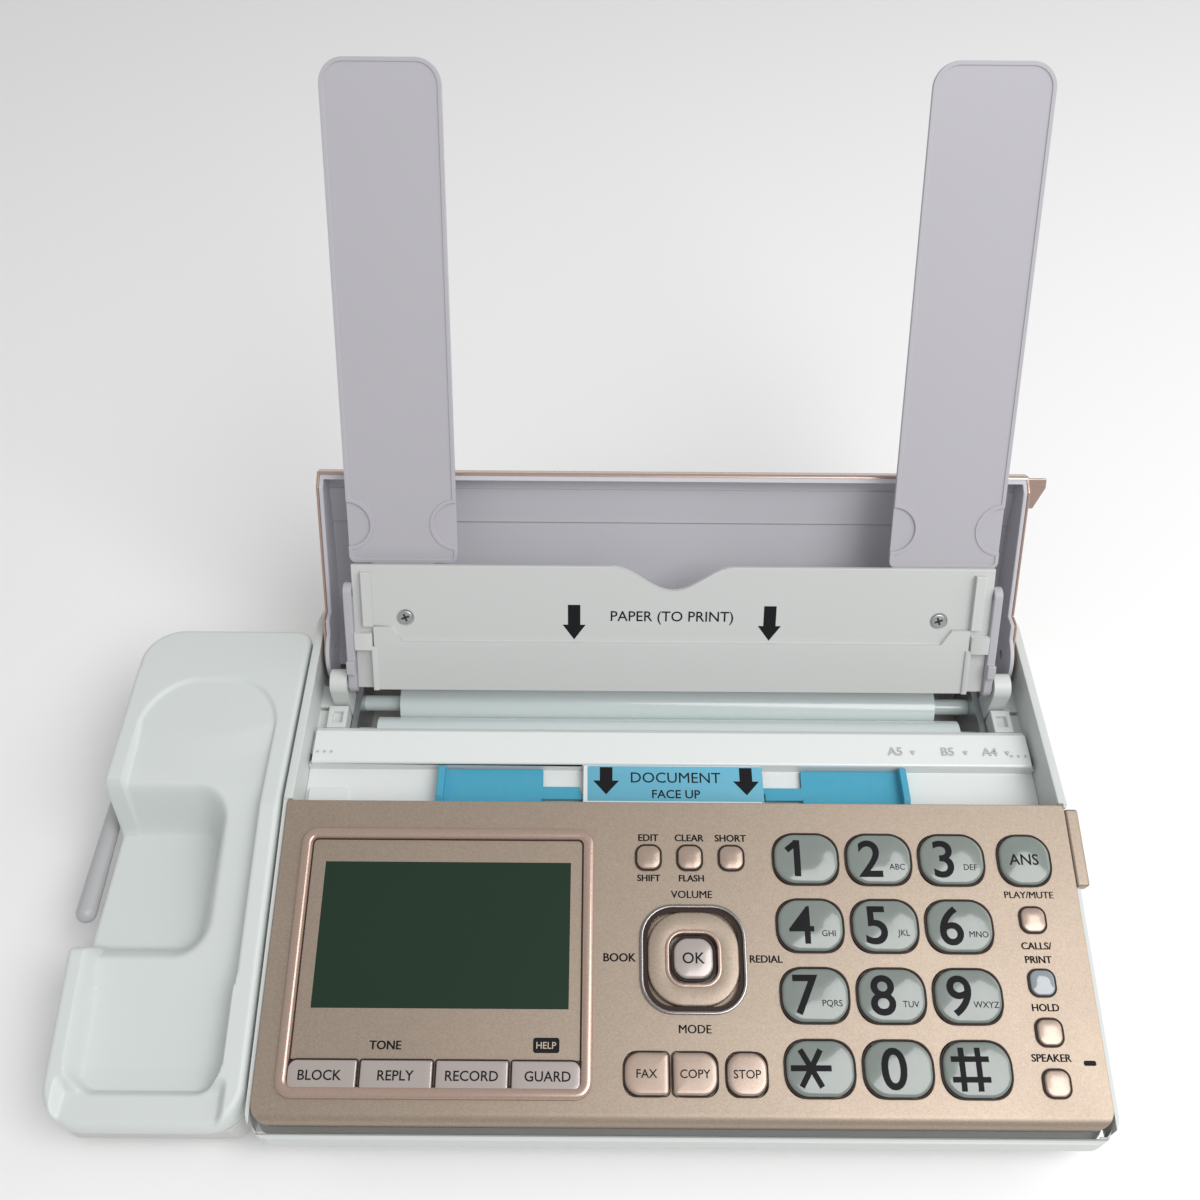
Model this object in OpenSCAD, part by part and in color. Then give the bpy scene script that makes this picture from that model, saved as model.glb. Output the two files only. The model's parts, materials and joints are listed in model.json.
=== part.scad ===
// Home fax machine, opened for use: operation panel, handset cradle, paper tray with two fold-up
// supports, rear lid, document guides and the rollers inside.  Millimetres, +Z up.
// Machine frame: X = 0 at the middle of the panel, Y = 0 at its front edge, Z = 0 on the table.
// The whole machine is then moved so that the origin is under the middle of its open outline.

/* [Operation panel] */
// Width of the operation panel
panel_w = 258; // [250:1:270]
// Length of the panel along its slope
panel_l = 99.4; // [97:0.2:106]
// Slope of the panel in degrees
panel_slope = 13; // [9:0.5:15]
// Height of the panel's front edge above the table
panel_front_h = 26; // [25:0.5:32]
// Thickness of the panel skin
panel_t = 2.5; // [2:0.1:3]
// Radius of the rolled front edge
nose_r = 4; // [3.5:0.1:5]
// Radius of the panel's front corners
panel_corner_r = 6.4; // [4:0.2:9]
// Depth of the panel assembly below its surface
panel_depth = 12; // [11:0.5:14]

/* [Keys] */
// Width of a dial key
dial_key_w = 20.6; // [17:0.2:22]
// Length of a dial key up the slope
dial_key_l = 16; // [13:0.2:18]
// Spacing of the dial keys across
dial_pitch_x = 23.7; // [23:0.1:24.2]
// Spacing of the dial keys up the slope
dial_pitch_y = 21.25; // [20:0.1:22]
// Place of the first dial key across
dial_x = 41.9; // [38:0.1:43]
// Place of the first dial key up the slope
dial_y = 80.6; // [78:0.1:84]
// Size of a small square key
small_key = 7.6; // [6:0.2:9]
// Height that the dial keys stand proud
key_rise = 2; // [1:0.1:3]
// Travel of every key
key_travel = 0.8; // [0.4:0.1:1]
// Clearance between a key and its hole
key_gap = 0.3; // [0.2:0.05:0.5]

/* [Display] */
// Width of the display frame
display_w = 95; // [86:1:97]
// Length of the display frame
display_l = 82; // [76:1:86]
// Place of the display frame's middle across
display_x = -74.6; // [-78:0.2:-72]
// Width of the display glass
glass_w = 79.4; // [70:0.2:84]
// Length of the display glass
glass_l = 45.2; // [38:0.2:50]

/* [Body] */
// Wall of the upper case
case_wall = 3; // [2.6:0.1:4]
// Width of the rim that shows beside the panel
rim_w = 1.5; // [1.2:0.1:3]
// Depth of the body behind the panel's front edge
body_depth = 186; // [182:1:200]
// Height of the parting line between the two cases
parting_h = 14; // [12:0.5:15]
// Height of the rubber feet
foot_h = 3; // [2:0.5:5]
// Radius of a rubber foot
foot_r = 7; // [5:0.5:9]

/* [Paper tray] */
// Width between the tray's side rails, for A4 paper and its clearance
paper_w = 211.8; // [211:0.1:214]
// Length of the tray plate above its hinge
tray_l = 45; // [40:0.5:47]
// Lean of the open tray and lid, in degrees from the table
open_lean = 58.6; // [54:0.2:62]
// Thickness of the tray plate
tray_t = 2.2; // [1.8:0.1:2.4]
// Distance from the panel's back edge to the tray's hinge
tray_pivot_back = 51.4; // [50:0.2:54]
// Height of the tray's hinge below the rear deck edge
tray_pivot_drop = 5.4; // [5:0.1:6]

/* [Paper supports] */
// Width of a paper support board
board_w = 38.2; // [30:0.2:39]
// Length of a paper support board
board_l = 163.5; // [140:0.5:166]
// Thickness of a paper support board
board_t = 1.8; // [1.4:0.1:1.9]
// Distance from the middle of the tray to a board's middle
board_x = 95; // [93:0.5:96]

/* [Lid] */
// Distance from the lid's hinge to its free edge
lid_reach = 67.6; // [64:0.2:68]
// Bulge of the lid behind its hinge line
lid_bulge = 13.8; // [12:0.2:16]
// Distance from the panel's back edge to the lid's hinge
lid_pivot_back = 67.6; // [67:0.2:70]
// Height of the lid's hinge below the rear deck edge
lid_pivot_drop = 7.4; // [7:0.1:9]

/* [Handset cradle] */
// Width of the handset cradle
cradle_w = 61.5; // [56:0.5:70]
// Length of the handset cradle
cradle_l = 168.6; // [158:0.2:174]
// Depth of the hollow under the handset's ear end
cradle_hollow = 3; // [2:0.5:5]
// Height of the floor of the finger well
well_floor_h = 22; // [18:0.5:26]

/* [Hidden] */
$fn = 48;

WHITE = "#dfe4e1";
TRAY_WHITE = "#c9cbc9";
LAVENDER = "#b8b6bd";
CHAMPAGNE = "#d2b9a2";
CHROME = "#c8c8cc";
TEAL = "#5ba3b5";
DARK = "#24262a";
STEEL = "#9a9da0";
SMOKE = "#9aa39c";

// Body
body_half = panel_w / 2 + rim_w;
body_front = -2.4;
lip_back = -0.8;
undercut = 2;
lip_top = 21;
belly_rise = 5;
foot_set_back = 5.8;
pan_wall = 2.5;
slot_count = 8;
slot_pitch = 20;
slot_w = 3;
slot_l = 26;
slot_y = 40;
exit_rise = 1.5;
exit_h = 6;
jack_x = 52;
jack_w = 56;
jack_z = 16;
jack_h = 14;
jack_d = 13;
case_corner_r = 7;
corner_wall = 1.6;
nose_sweep_r = 9.9;
wall_in = body_half - case_wall;
back_y = panel_l * cos(panel_slope);
deck_h = panel_front_h + panel_l * sin(panel_slope);
floor_t = 2.5;
floor_top = foot_h + floor_t;
rear_top = deck_h - 10.4;
fit_gap = 0.05;
clear_gap = 0.3;

// Panel hinge, in panel coordinates
hinge_in = 8;
hinge_r = 2.5;
hinge_pin_end = body_half - 1.5;
frame_half = panel_w / 2 - 4.1;
rim_drop = 1;
under_panel = panel_t + 0.7;

// Keys, measured along the panel's normal from its surface
dial_corner_r = 5.5;
small_corner_r = 2.4;
action_corner_r = 3.4;
soft_corner_r = 1.5;
small_rise = 1.3;
action_rise = 1.4;
soft_rise = 1.1;
select_rise = 1.8;
dial_dome_r = 60;
small_dome_r = 25;
action_dome_r = 45;
soft_dome_r = 90;
soft_flange = 1.9;
select_flange = 4.7;
board_post_x = [-60, 20, 90];
board_post_y = [30, 72];
board_post_r = 3;
flange_top = panel_t + clear_gap;
flange_t = 1;
flange_lip = 1.2;
dome_room = 3;
board_top = flange_top + flange_t + key_travel + dome_room;
board_thick = 1.6;
frame_floor = 2;
column_x = 113;
column_y = [61.6, 42.3, 27.7, 13.1];
answer_w = 16.4;
lamp_x = 124;
lamp_y = 19;
lamp_w = 3.5;
lamp_l = 1.2;
small_row_x = [-9.2, 4.2, 17.7];
small_row_y = 80.8;
nav_x = 4.5;
nav_y = 48.9;
nav_ring_w = 33.6;
nav_key_w = 28.6;
nav_key_r = 9;
nav_rise = 1.1;
select_hole_w = 15.2;
select_hole_r = 5;
select_key_w = 12.4;
action_y = 15.1;
action_l = 12.2;
action_lip = 0.45;
action_x = [-10.5, 4.1, 19.75];
action_w = [13.4, 13.4, 12.1];
soft_y = 14.1;
soft_l = 8.6;
soft_lip = 0.4;
soft_pitch = 22.85;
soft_w = 21.7;
soft_x = display_x - 1.5 * soft_pitch;
display_y = 48.7;
display_ridge = 3;
display_r = 5;
display_lip = 1.2;
display_tray_t = 1.6;
nav_ring_r = 10.5;
nav_ring_h = 1;
select_key_r = 4;
glass_x = -74.2;
glass_y = 56.2;
glass_t = 1;
lever_y = 85.4;
lever_l = 25.6;
lever_w = 4.4;
lever_depth = 5.6;
lever_tongue_l = 13.6;

// Rear deck, rollers and guides
ledge_front = back_y + 20.5;
ledge_back = back_y + 35.4;
ledge_h = deck_h - 9.4;
ledge_edge_h = deck_h - 9.8;
ledge_bevel = 2.2;
ledge_foot = 30.5;
deck_front = 12;
pad_w = 13.6;
pad_l = 12.5;
pad_h = 2.2;
feed_tyre_x = [-60, 0, 60];
feed_tyre_half = 14;
frame_front = 22;
frame_front_h = 12.3;
deck_t = 2.2;
path_gap = 3.5;
deck_normal = panel_depth + path_gap;
recess_h = deck_h - 14.4;
recess_lip_y = (panel_l - 4) * cos(panel_slope) + deck_normal * sin(panel_slope);
recess_lip_h = panel_front_h + (panel_l - 4) * sin(panel_slope) - deck_normal * cos(panel_slope);
guide_x = 79;
guide_travel = 27;
guide_plate_t = 1.5;
bar_y = back_y + 8.4;
rack_w = 2.3;
guide_fin_t = 2.4;
guide_fin_h = deck_h - 9.2;
cover_half = 31;
ledge_half = 126.2;
cover_rise = 3.6;
roller_half = 107;
film_half = 100;
frame_in = 114;
frame_out = 116.3;
shaft_end = frame_out + 1.5;
// Each roller: Y, Z, radius and shaft radius
platen = [back_y + 25, 22, 7, 3];
take_up = [back_y + 42, 22.2, 6.8, 3];
supply = [back_y + 57.6, 20.4, 8, 3];
feed_v = panel_l - 21.4;
feed_n = -21.5;
feed = [feed_v * cos(panel_slope) - feed_n * sin(panel_slope),
  panel_front_h + feed_v * sin(panel_slope) + feed_n * cos(panel_slope), 6.5, 2.2];
sensor_v = 52;
sensor_w = 16;
sensor_h = 12;
sensor_half = 108.5;
head_w = 216;
head_l = 18;
head_t = 4;
head_bar_l = 10;
head_bar_t = 2.7;
head_gap = 0.3;
circuit_w = 200;
circuit_l = 42;
circuit_y = 66;
circuit_rise = 1.5;
circuit_t = 1.6;
sheet_w = 34;
rack_link_w = 13;
rack_rise = 0.9;
rack_t = 1.3;

// Tray, arms and supports; tray coordinates run up the plate from the hinge
tray_pivot = [back_y + tray_pivot_back, deck_h - tray_pivot_drop];
tray_half = paper_w / 2 + 7;
rail_t = 3.6;
rail_h = 2.3;
stop_h = 2.5;
step_h = 1.6;
tray_bottom = -1.5;
arm_t = 3;
arm_r = 3.3;
arm_l = 35;
arm_pin_r = 2.5;
arm_pin_end = tray_half + arm_t + 4.4;
post_in = tray_half + arm_t + 0.5;
post_out = post_in + 6;
post_r = 4.8;
post_foot = 30;
socket_x = 120.2;
socket_y = ledge_back + 0.8;
socket_w = 3.5;
socket_l = 9.4;
socket_h = 10.5;
socket_hole_w = 3.6;
socket_hole_l = 4.6;
socket_hole_d = 2;
step_y = 17;
step_edge_y = 22.6;
step_half = 96;
rail_y = 23;
rail_l = 20;
stop_y = 14;
stop_w = 6.4;
screw_x = 94.6;
screw_y = 25.7;
screw_r = 3.2;
screw_d = 0.7;
wave_step = 2.12;
notch_half = 21.2;
notch_depth = 8.8;
support_pivot_up = 26;
support_bottom = 44.5;
support_layer = 0.3;
support_pin_r = 3;
tongue_w = 22;
board_corner_r = 8;
board_foot_r = 2.5;
board_rim_w = 1.3;
board_rim_h = 0.4;
finger_r = 8;
finger_y = support_bottom + 14;

// Lid; lid coordinates run from its hinge to its free edge, the inside is +Z
lid_pivot = [back_y + lid_pivot_back, deck_h - lid_pivot_drop];
lid_half = body_half - 4.2;
lid_skin_t = 1;
lid_liner_t = 1.5;
lid_arm_r = 11;
lid_pin_r = 3;
lid_pin_end = body_half - 1.5;
lid_side_front = 2.5;
lid_skin_arm_r = 8.5;
lid_tab_w = 6.8;
lid_pin_bore_r = 1.6;
liner_step = [47, 50, 60];
liner_step_n = [4.3, 4.4, 6.3];
lid_tab_t = 1.6;
lid_tab_n = -3.4;

// Cradle
cradle_right = -(body_half + 1.2);
cradle_left = cradle_right - cradle_w + 1;
cradle_mid = (cradle_left + cradle_right) / 2;
cradle_front = -0.6;
cradle_base_in = 0.4;
cradle_edge = 6;
cradle_front_r = 12;
cradle_back_r = 14;
cradle_wall = 3;
link_y = 20;
link_l = 130;
hollow_half = 24.3;
ear_y = back_y + 22;
ear_l = 56;
ear_r = 17;
ear_crown = 3;
trough_top = 94;
mouth_front = 16;
mouth_back = 53;
mouth_floor_h = 20.5;
well_right = cradle_mid + 10.8;
well_front = 50;
well_back = 104;
well_fillet = 7;
lip_flat_y = 7;
lip_h = 24.5;
antenna_x = cradle_left - 5.5;
antenna_y = 152;
antenna_z = 19.5;
antenna_l = 86;
antenna_r = 3.4;
antenna_root_r = 2.2;
antenna_pin_r = 2;
antenna_pin_l = 5;
antenna_hub_r = 4.4;
antenna_hub_half = 2.4;

// Middle of the open machine's outline
left_end = antenna_x - antenna_r;
right_end = panel_w / 2 + 0.2 + lever_w;
support_tip = support_bottom + board_l;
support_back = tray_t / 2 + 2 * (support_layer + board_t);
rear_end = tray_pivot[0] + support_tip * cos(open_lean) + support_back * sin(open_lean);
mid_x = (left_end + right_end) / 2;
mid_y = (min(body_front, cradle_front) + rear_end) / 2;

// Outline in Y and Z, drawn along X from x0 to x1
module along_x(x0, x1) translate([x0, 0, 0]) rotate([90, 0, 90]) linear_extrude(x1 - x0) children();
// A round bar along X
module bar_x(x0, x1, r) translate([x0, 0, 0]) rotate([0, 90, 0]) cylinder(h = x1 - x0, r = r);
module both_sides() {
  children();
  mirror([1, 0, 0]) children();
}
module in_place() translate([-mid_x, -mid_y, 0]) children();
module on_panel() in_place() translate([0, 0, panel_front_h]) rotate([panel_slope, 0, 0]) children();
module on_tray() in_place() translate([0, tray_pivot[0], tray_pivot[1]]) rotate([open_lean, 0, 0]) children();
module on_lid() in_place() translate([0, lid_pivot[0], lid_pivot[1]]) rotate([open_lean, 0, 0]) children();

// Rectangle with round corners, centred
module rounded_rect(w, l, r) {
  square([w - 2 * r, l], center = true);
  square([w, l - 2 * r], center = true);
  for (sx = [-1, 1], sy = [-1, 1]) translate([sx * (w / 2 - r), sy * (l / 2 - r)]) circle(r);
}
// Rectangle from y = 0 with different radii in front and at the back
module plate_outline(w, l, front_r, back_r) {
  translate([-w / 2, front_r]) square([w, l - front_r - back_r]);
  translate([-w / 2 + front_r, 0]) square([w - 2 * front_r, l / 2]);
  translate([-w / 2 + back_r, l / 2]) square([w - 2 * back_r, l / 2]);
  for (s = [-1, 1]) {
    translate([s * (w / 2 - front_r), front_r]) circle(front_r);
    translate([s * (w / 2 - back_r), l - back_r]) circle(back_r);
  }
}
// Plate on the panel between two depths
module panel_layer(top, bottom) translate([0, 0, -bottom]) linear_extrude(bottom - top) children();

// Outlines of the keys, grown by a clearance
module dial_outline(col, row, grow)
  translate([dial_x + col * dial_pitch_x, dial_y - row * dial_pitch_y])
    rounded_rect(dial_key_w + 2 * grow, dial_key_l + 2 * grow, dial_corner_r + grow);
module answer_outline(grow) translate([column_x, dial_y])
  rounded_rect(answer_w + 2 * grow, dial_key_l + 2 * grow, dial_corner_r + grow);
module small_outline(x, y, grow) translate([x, y])
  rounded_rect(small_key + 2 * grow, small_key + 2 * grow, small_corner_r + grow);
module action_outline(i, grow, grow_l) translate([action_x[i], action_y])
  rounded_rect(action_w[i] + 2 * grow, action_l + 2 * grow_l, action_corner_r + grow);
module soft_outline(i, grow) translate([soft_x + i * soft_pitch, soft_y])
  rounded_rect(soft_w + 2 * grow, soft_l + 2 * grow, soft_corner_r + grow);
module nav_outline(w, r) translate([nav_x, nav_y]) rounded_rect(w, w, r);

module panel_openings() {
  for (col = [0:2], row = [0:3]) dial_outline(col, row, key_gap);
  answer_outline(key_gap);
  for (y = column_y) small_outline(column_x, y, key_gap);
  for (x = small_row_x) small_outline(x, small_row_y, key_gap);
  for (i = [0:2]) action_outline(i, key_gap, key_gap);
  nav_outline(nav_key_w + 2 * key_gap, nav_key_r + key_gap);
  translate([lamp_x, lamp_y]) rounded_rect(lamp_w, lamp_l, lamp_l / 3);
  translate([display_x, display_y])
    rounded_rect(display_w - 1.6, display_l - 1.6, display_r - 0.8);
}

// A key: a domed cap that stands proud and a flange that the panel holds
// children(0) is the cap's outline and children(1) the flange's, both in panel coordinates
module push_key(x, y, rise, dome_r, cap_bottom) {
  intersection() {
    translate([0, 0, -cap_bottom]) linear_extrude(cap_bottom + rise) children(0);
    translate([x, y, rise - dome_r]) sphere(dome_r, $fn = 96);
  }
  translate([0, 0, -cap_bottom - flange_t]) linear_extrude(flange_t) children(1);
}

module operation_panel() color(CHAMPAGNE) on_panel() intersection() {
  union() {
    panel_layer(0, panel_t) difference() {
      translate([-panel_w / 2, nose_r]) square([panel_w, panel_l - nose_r]);
      panel_openings();
    }
    translate([0, nose_r, -nose_r]) along_x(-panel_w / 2, panel_w / 2) difference() {
      circle(nose_r);
      circle(nose_r - panel_t);
      translate([0, -nose_r]) square([nose_r, 2 * nose_r]);
      translate([-nose_r, -nose_r]) square([2 * nose_r, nose_r - 1.4]);
    }
    // Back wall, which drops between the side walls
    translate([-wall_in + 0.6, panel_l - panel_t, -under_panel - 3])
      cube([2 * wall_in - 1.2, panel_t, under_panel + 3]);
  }
  translate([0, 0, -20]) linear_extrude(30) plate_outline(panel_w, panel_l, panel_corner_r, 1.2);
}

module panel_frame() color(DARK) on_panel() difference() {
  union() {
    difference() {
      translate([-frame_half, nose_r + 1.2, -panel_depth])
        cube([2 * frame_half, panel_l - nose_r - 4, panel_depth - panel_t]);
      translate([-frame_half + 2, nose_r + 3.2, -panel_depth + frame_floor])
        cube([2 * frame_half - 4, panel_l - nose_r - 8, panel_depth]);
    }
    both_sides() translate([0, hinge_in, -hinge_in]) bar_x(frame_half - 1, hinge_pin_end, hinge_r);
    // Posts that carry the key board
    for (x = board_post_x, y = board_post_y) translate([x, y, -panel_depth])
      cylinder(h = panel_depth - board_top - board_thick, r = board_post_r);
  }
  // Slot for the release lever's tongue
  translate([frame_half - 3, lever_y - lever_tongue_l / 2 - 0.4, -lever_depth - 0.2])
    cube([4, lever_tongue_l + 0.8, lever_depth]);
}

module key_board() color("#2f6b3f") on_panel() {
  panel_layer(board_top, board_top + board_thick) translate([0, panel_l / 2 + 1])
    rounded_rect(2 * frame_half - 6, panel_l - 16, 2);
  // Display module under its glass
  translate([glass_x - glass_w / 2 - 2, glass_y - glass_l / 2 - 2, -board_top])
    cube([glass_w + 4, glass_l + 4, board_top - 1.7]);
}

module display_frame() color(CHAMPAGNE) on_panel() difference() {
  union() {
    linear_extrude(display_lip) translate([display_x, display_y]) difference() {
      rounded_rect(display_w, display_l, display_r);
      rounded_rect(display_w - 2 * display_ridge, display_l - 2 * display_ridge,
        display_r - display_ridge + 0.5);
    }
    panel_layer(0, display_tray_t) translate([display_x, display_y])
      rounded_rect(display_w - 2.2, display_l - 2.2, display_r - 1.1);
  }
  panel_layer(-2, 1.01) translate([glass_x, glass_y]) square([glass_w + 0.2, glass_l + 0.2], center = true);
  panel_layer(-2, 3) translate([glass_x, glass_y]) square([glass_w - 4, glass_l - 4], center = true);
  panel_layer(-2, 3) for (i = [0:3]) soft_outline(i, key_gap);
}

module display_glass() color("#24402f") on_panel()
  panel_layer(0.01, 0.01 + glass_t) translate([glass_x, glass_y]) square([glass_w, glass_l], center = true);

module navigation_ring() color(CHROME) on_panel() linear_extrude(nav_ring_h) difference() {
  nav_outline(nav_ring_w, nav_ring_r);
  nav_outline(nav_key_w + 2 * key_gap, nav_key_r + key_gap);
}

module release_lever() color(CHAMPAGNE) on_panel() {
  translate([panel_w / 2 + 0.2, lever_y - lever_l / 2, -lever_depth])
    cube([lever_w, lever_l, lever_depth - 0.2]);
  translate([frame_half - 2, lever_y - lever_tongue_l / 2, -lever_depth + 0.2])
    cube([panel_w / 2 - frame_half + 2.3, lever_tongue_l, lever_depth - 0.5 - panel_t]);
}

module dial_key(col, row) color(SMOKE) on_panel() {
  x = dial_x + col * dial_pitch_x;
  y = dial_y - row * dial_pitch_y;
  push_key(x, y, key_rise, dial_dome_r, flange_top) {
    dial_outline(col, row, 0);
    dial_outline(col, row, flange_lip);
  }
}
module answering_key() color(SMOKE) on_panel()
  push_key(column_x, dial_y, key_rise, dial_dome_r, flange_top) {
  answer_outline(0);
  answer_outline(flange_lip);
}
module small_square_key(x, y, tint) color(tint) on_panel()
  push_key(x, y, small_rise, small_dome_r, flange_top) {
  small_outline(x, y, 0);
  small_outline(x, y, flange_lip);
}
module action_key(i) color(CHAMPAGNE) on_panel()
  push_key(action_x[i], action_y, action_rise, action_dome_r, flange_top) {
  action_outline(i, 0, 0);
  action_outline(i, action_lip, flange_lip);
}
module soft_key(i) color("#cdbfb8") on_panel()
  push_key(soft_x + i * soft_pitch, soft_y, soft_rise, soft_dome_r, soft_flange) {
  soft_outline(i, 0);
  soft_outline(i, soft_lip);
}
module navigation_key() color(CHAMPAGNE) on_panel() difference() {
  union() {
    panel_layer(-nav_rise, flange_top) nav_outline(nav_key_w, nav_key_r);
    panel_layer(flange_top, flange_top + flange_t)
      nav_outline(nav_key_w + 2 * flange_lip, nav_key_r + flange_lip);
  }
  panel_layer(-nav_rise - 1, 9) nav_outline(select_hole_w, select_hole_r);
}
module select_key() color(CHAMPAGNE) on_panel()
  push_key(nav_x, nav_y, select_rise, dial_dome_r, select_flange) {
  nav_outline(select_key_w, select_key_r);
  nav_outline(select_hole_w + 2, select_hole_r);
}

module base_pan() color(WHITE) in_place() difference() {
  intersection() {
    translate([0, body_front + undercut, foot_h]) linear_extrude(parting_h - foot_h)
      plate_outline(2 * body_half - 0.8, body_depth - body_front - undercut, 8, 6);
    // Front wall leans back towards the table
    along_x(-body_half, body_half) polygon([
      [body_front + foot_set_back, foot_h - 1], [body_front + undercut, parting_h + 1],
      [body_depth + 1, parting_h + 1], [body_depth + 1, foot_h - 1]]);
  }
  translate([0, body_front + foot_set_back + pan_wall, floor_top]) linear_extrude(parting_h)
    plate_outline(2 * wall_in, body_depth - body_front - foot_set_back - 2 * pan_wall, 5, 4);
  // Paper leaves through the front wall
  translate([-paper_w / 2 - 2, body_front - 1, floor_top + exit_rise]) cube([paper_w + 4, 12, exit_h]);
  // Cooling slots in the floor
  for (i = [0:slot_count - 1]) translate([(i - (slot_count - 1) / 2) * slot_pitch, slot_y, 0])
    cube([slot_w, slot_l, foot_h + 2 * floor_t]);
}

// Side wall outline in Y and Z; drop is how far its front part lies below the panel surface
module wall_outline(drop) polygon([
  [body_front + undercut, parting_h],
  [body_front, parting_h + belly_rise],
  [body_front + 0.5, lip_top],
  [drop * sin(panel_slope) + 0.5, panel_front_h - drop * cos(panel_slope)],
  [back_y + drop * sin(panel_slope), deck_h - drop * cos(panel_slope)],
  [back_y + 0.7, deck_h],
  [back_y + 75, deck_h],
  [body_depth - 5, deck_h - 5],
  [body_depth - 1.5, deck_h - 9],
  [body_depth, rear_top - 3],
  [body_depth, parting_h]]);

module main_case() color(WHITE) in_place() {
  pin_y = hinge_in * cos(panel_slope) + hinge_in * sin(panel_slope);
  pin_z = panel_front_h + hinge_in * sin(panel_slope) - hinge_in * cos(panel_slope);
  difference() {
    intersection() {
      union() {
        both_sides() along_x(body_half - 1.2, body_half) wall_outline(rim_drop);
        both_sides() along_x(wall_in, body_half - 1.2) difference() {
          wall_outline(under_panel);
          // Room for the rolled front edge as the panel opens
          translate([pin_y, pin_z]) difference() {
            circle(11);
            circle(5);
            translate([0, -12]) square([12, 24]);
          }
        }
        // Front lip
        along_x(-body_half, body_half) polygon([
          [body_front + undercut, parting_h], [body_front, parting_h + belly_rise],
          [body_front + 0.5, lip_top], [body_front + 1, lip_top + 0.6], [lip_back, lip_top],
          [lip_back, parting_h + 4], [lip_back + 2, parting_h]]);
        // Thin wall that carries the lip round the front corners
        difference() {
          translate([0, body_front, parting_h]) linear_extrude(lip_top - parting_h) difference() {
            plate_outline(2 * body_half, 30, case_corner_r, 0.5);
            translate([0, corner_wall])
              plate_outline(2 * (body_half - corner_wall), 40, case_corner_r - corner_wall, 0.5);
          }
          translate([0, pin_y, pin_z]) bar_x(-panel_w / 2 - clear_gap, panel_w / 2 + clear_gap, nose_sweep_r);
        }
        // Rear wall
        translate([-body_half, body_depth - case_wall, parting_h])
          cube([2 * body_half, case_wall, rear_top - parting_h]);
        // Posts that carry the tray's hinge
        both_sides() {
          along_x(post_in, post_out) translate(tray_pivot) {
            circle(post_r);
            translate([-post_r, post_foot - tray_pivot[1]]) square([2 * post_r, tray_pivot[1] - post_foot]);
          }
          along_x(post_in, wall_in + 0.5) translate([tray_pivot[0] - post_r, post_foot - 4])
            square([2 * post_r, 8]);
          // Low block with a square socket
          translate([socket_x - socket_w, socket_y, post_foot - 4]) difference() {
            cube([2 * socket_w, socket_l, socket_h]);
            translate([socket_w - socket_hole_w / 2, (socket_l - socket_hole_l) / 2, socket_h - socket_hole_d])
              cube([socket_hole_w, socket_hole_l, socket_hole_d + 1]);
          }
          translate([socket_x, socket_y, post_foot - 4])
            cube([wall_in - socket_x + 0.5, socket_l, socket_h - 3]);
        }
      }
      translate([0, body_front, 0]) linear_extrude(80)
        plate_outline(2 * body_half, body_depth - body_front, case_corner_r, 7);
    }
    both_sides() translate([0, pin_y, pin_z]) bar_x(wall_in - 1, hinge_pin_end + 0.2, hinge_r + fit_gap);
    both_sides() translate([0, lid_pivot[0], lid_pivot[1]])
      bar_x(wall_in - 1, lid_pin_end + 0.2, lid_pin_r + fit_gap);
    both_sides() translate([0, tray_pivot[0], tray_pivot[1]])
      bar_x(post_in - 1, post_out + 1, arm_pin_r + fit_gap);
    // Window for the jacks
    translate([jack_x, body_depth - 10, jack_z]) cube([jack_w, 20, jack_h]);
    // Notch for the release lever
    translate([0, 0, panel_front_h]) rotate([panel_slope, 0, 0])
      translate([wall_in - 1, lever_y - lever_l / 2 - 0.6, -6.4]) cube([20, lever_l + 1.2, 20]);
  }
}

// Two side plates that carry the roller shafts
module chassis() color(STEEL) in_place() both_sides() along_x(frame_in, frame_out) difference() {
  polygon([
    [frame_front, floor_top], [back_y + 70, floor_top], [back_y + 70, 28], [back_y + 36, 30.2],
    [back_y + 14, recess_h - deck_t - 1.4], [recess_lip_y - 2, recess_lip_h - deck_t - 1],
    [frame_front, frame_front_h]]);
  for (r = [platen, take_up, supply, feed]) translate([r[0], r[1]]) circle(r[3] + fit_gap);
}

module roller(r, half, tint) color(tint) in_place() translate([0, r[0], r[1]]) {
  bar_x(-half, half, r[2]);
  bar_x(-shaft_end, shaft_end, r[3]);
}
module platen_roller() roller(platen, roller_half, DARK);
module film_supply_roll() roller(supply, film_half, SMOKE);
module film_take_up_roll() roller(take_up, roller_half, SMOKE);
module document_roller() color(DARK) in_place() translate([0, feed[0], feed[1]]) {
  for (x = feed_tyre_x) bar_x(x - feed_tyre_half, x + feed_tyre_half, feed[2]);
  bar_x(-shaft_end, shaft_end, feed[3]);
}

module document_deck() color(WHITE) in_place() {
  deck_plate();
  deck_pad();
  // Cover over the middle of the guides' racks
  along_x(-cover_half, cover_half) polygon([
    [ledge_front + 0.1, recess_h + cover_rise], [recess_lip_y + 0.8, recess_lip_h + cover_rise],
    [recess_lip_y + 0.8, recess_lip_h - 0.5], [recess_lip_y + 1.8, recess_lip_h - 0.5],
    [recess_lip_y + 1.8, recess_lip_h + cover_rise - 1], [ledge_front + 0.1, recess_h + cover_rise - 1]]);
}
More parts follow.
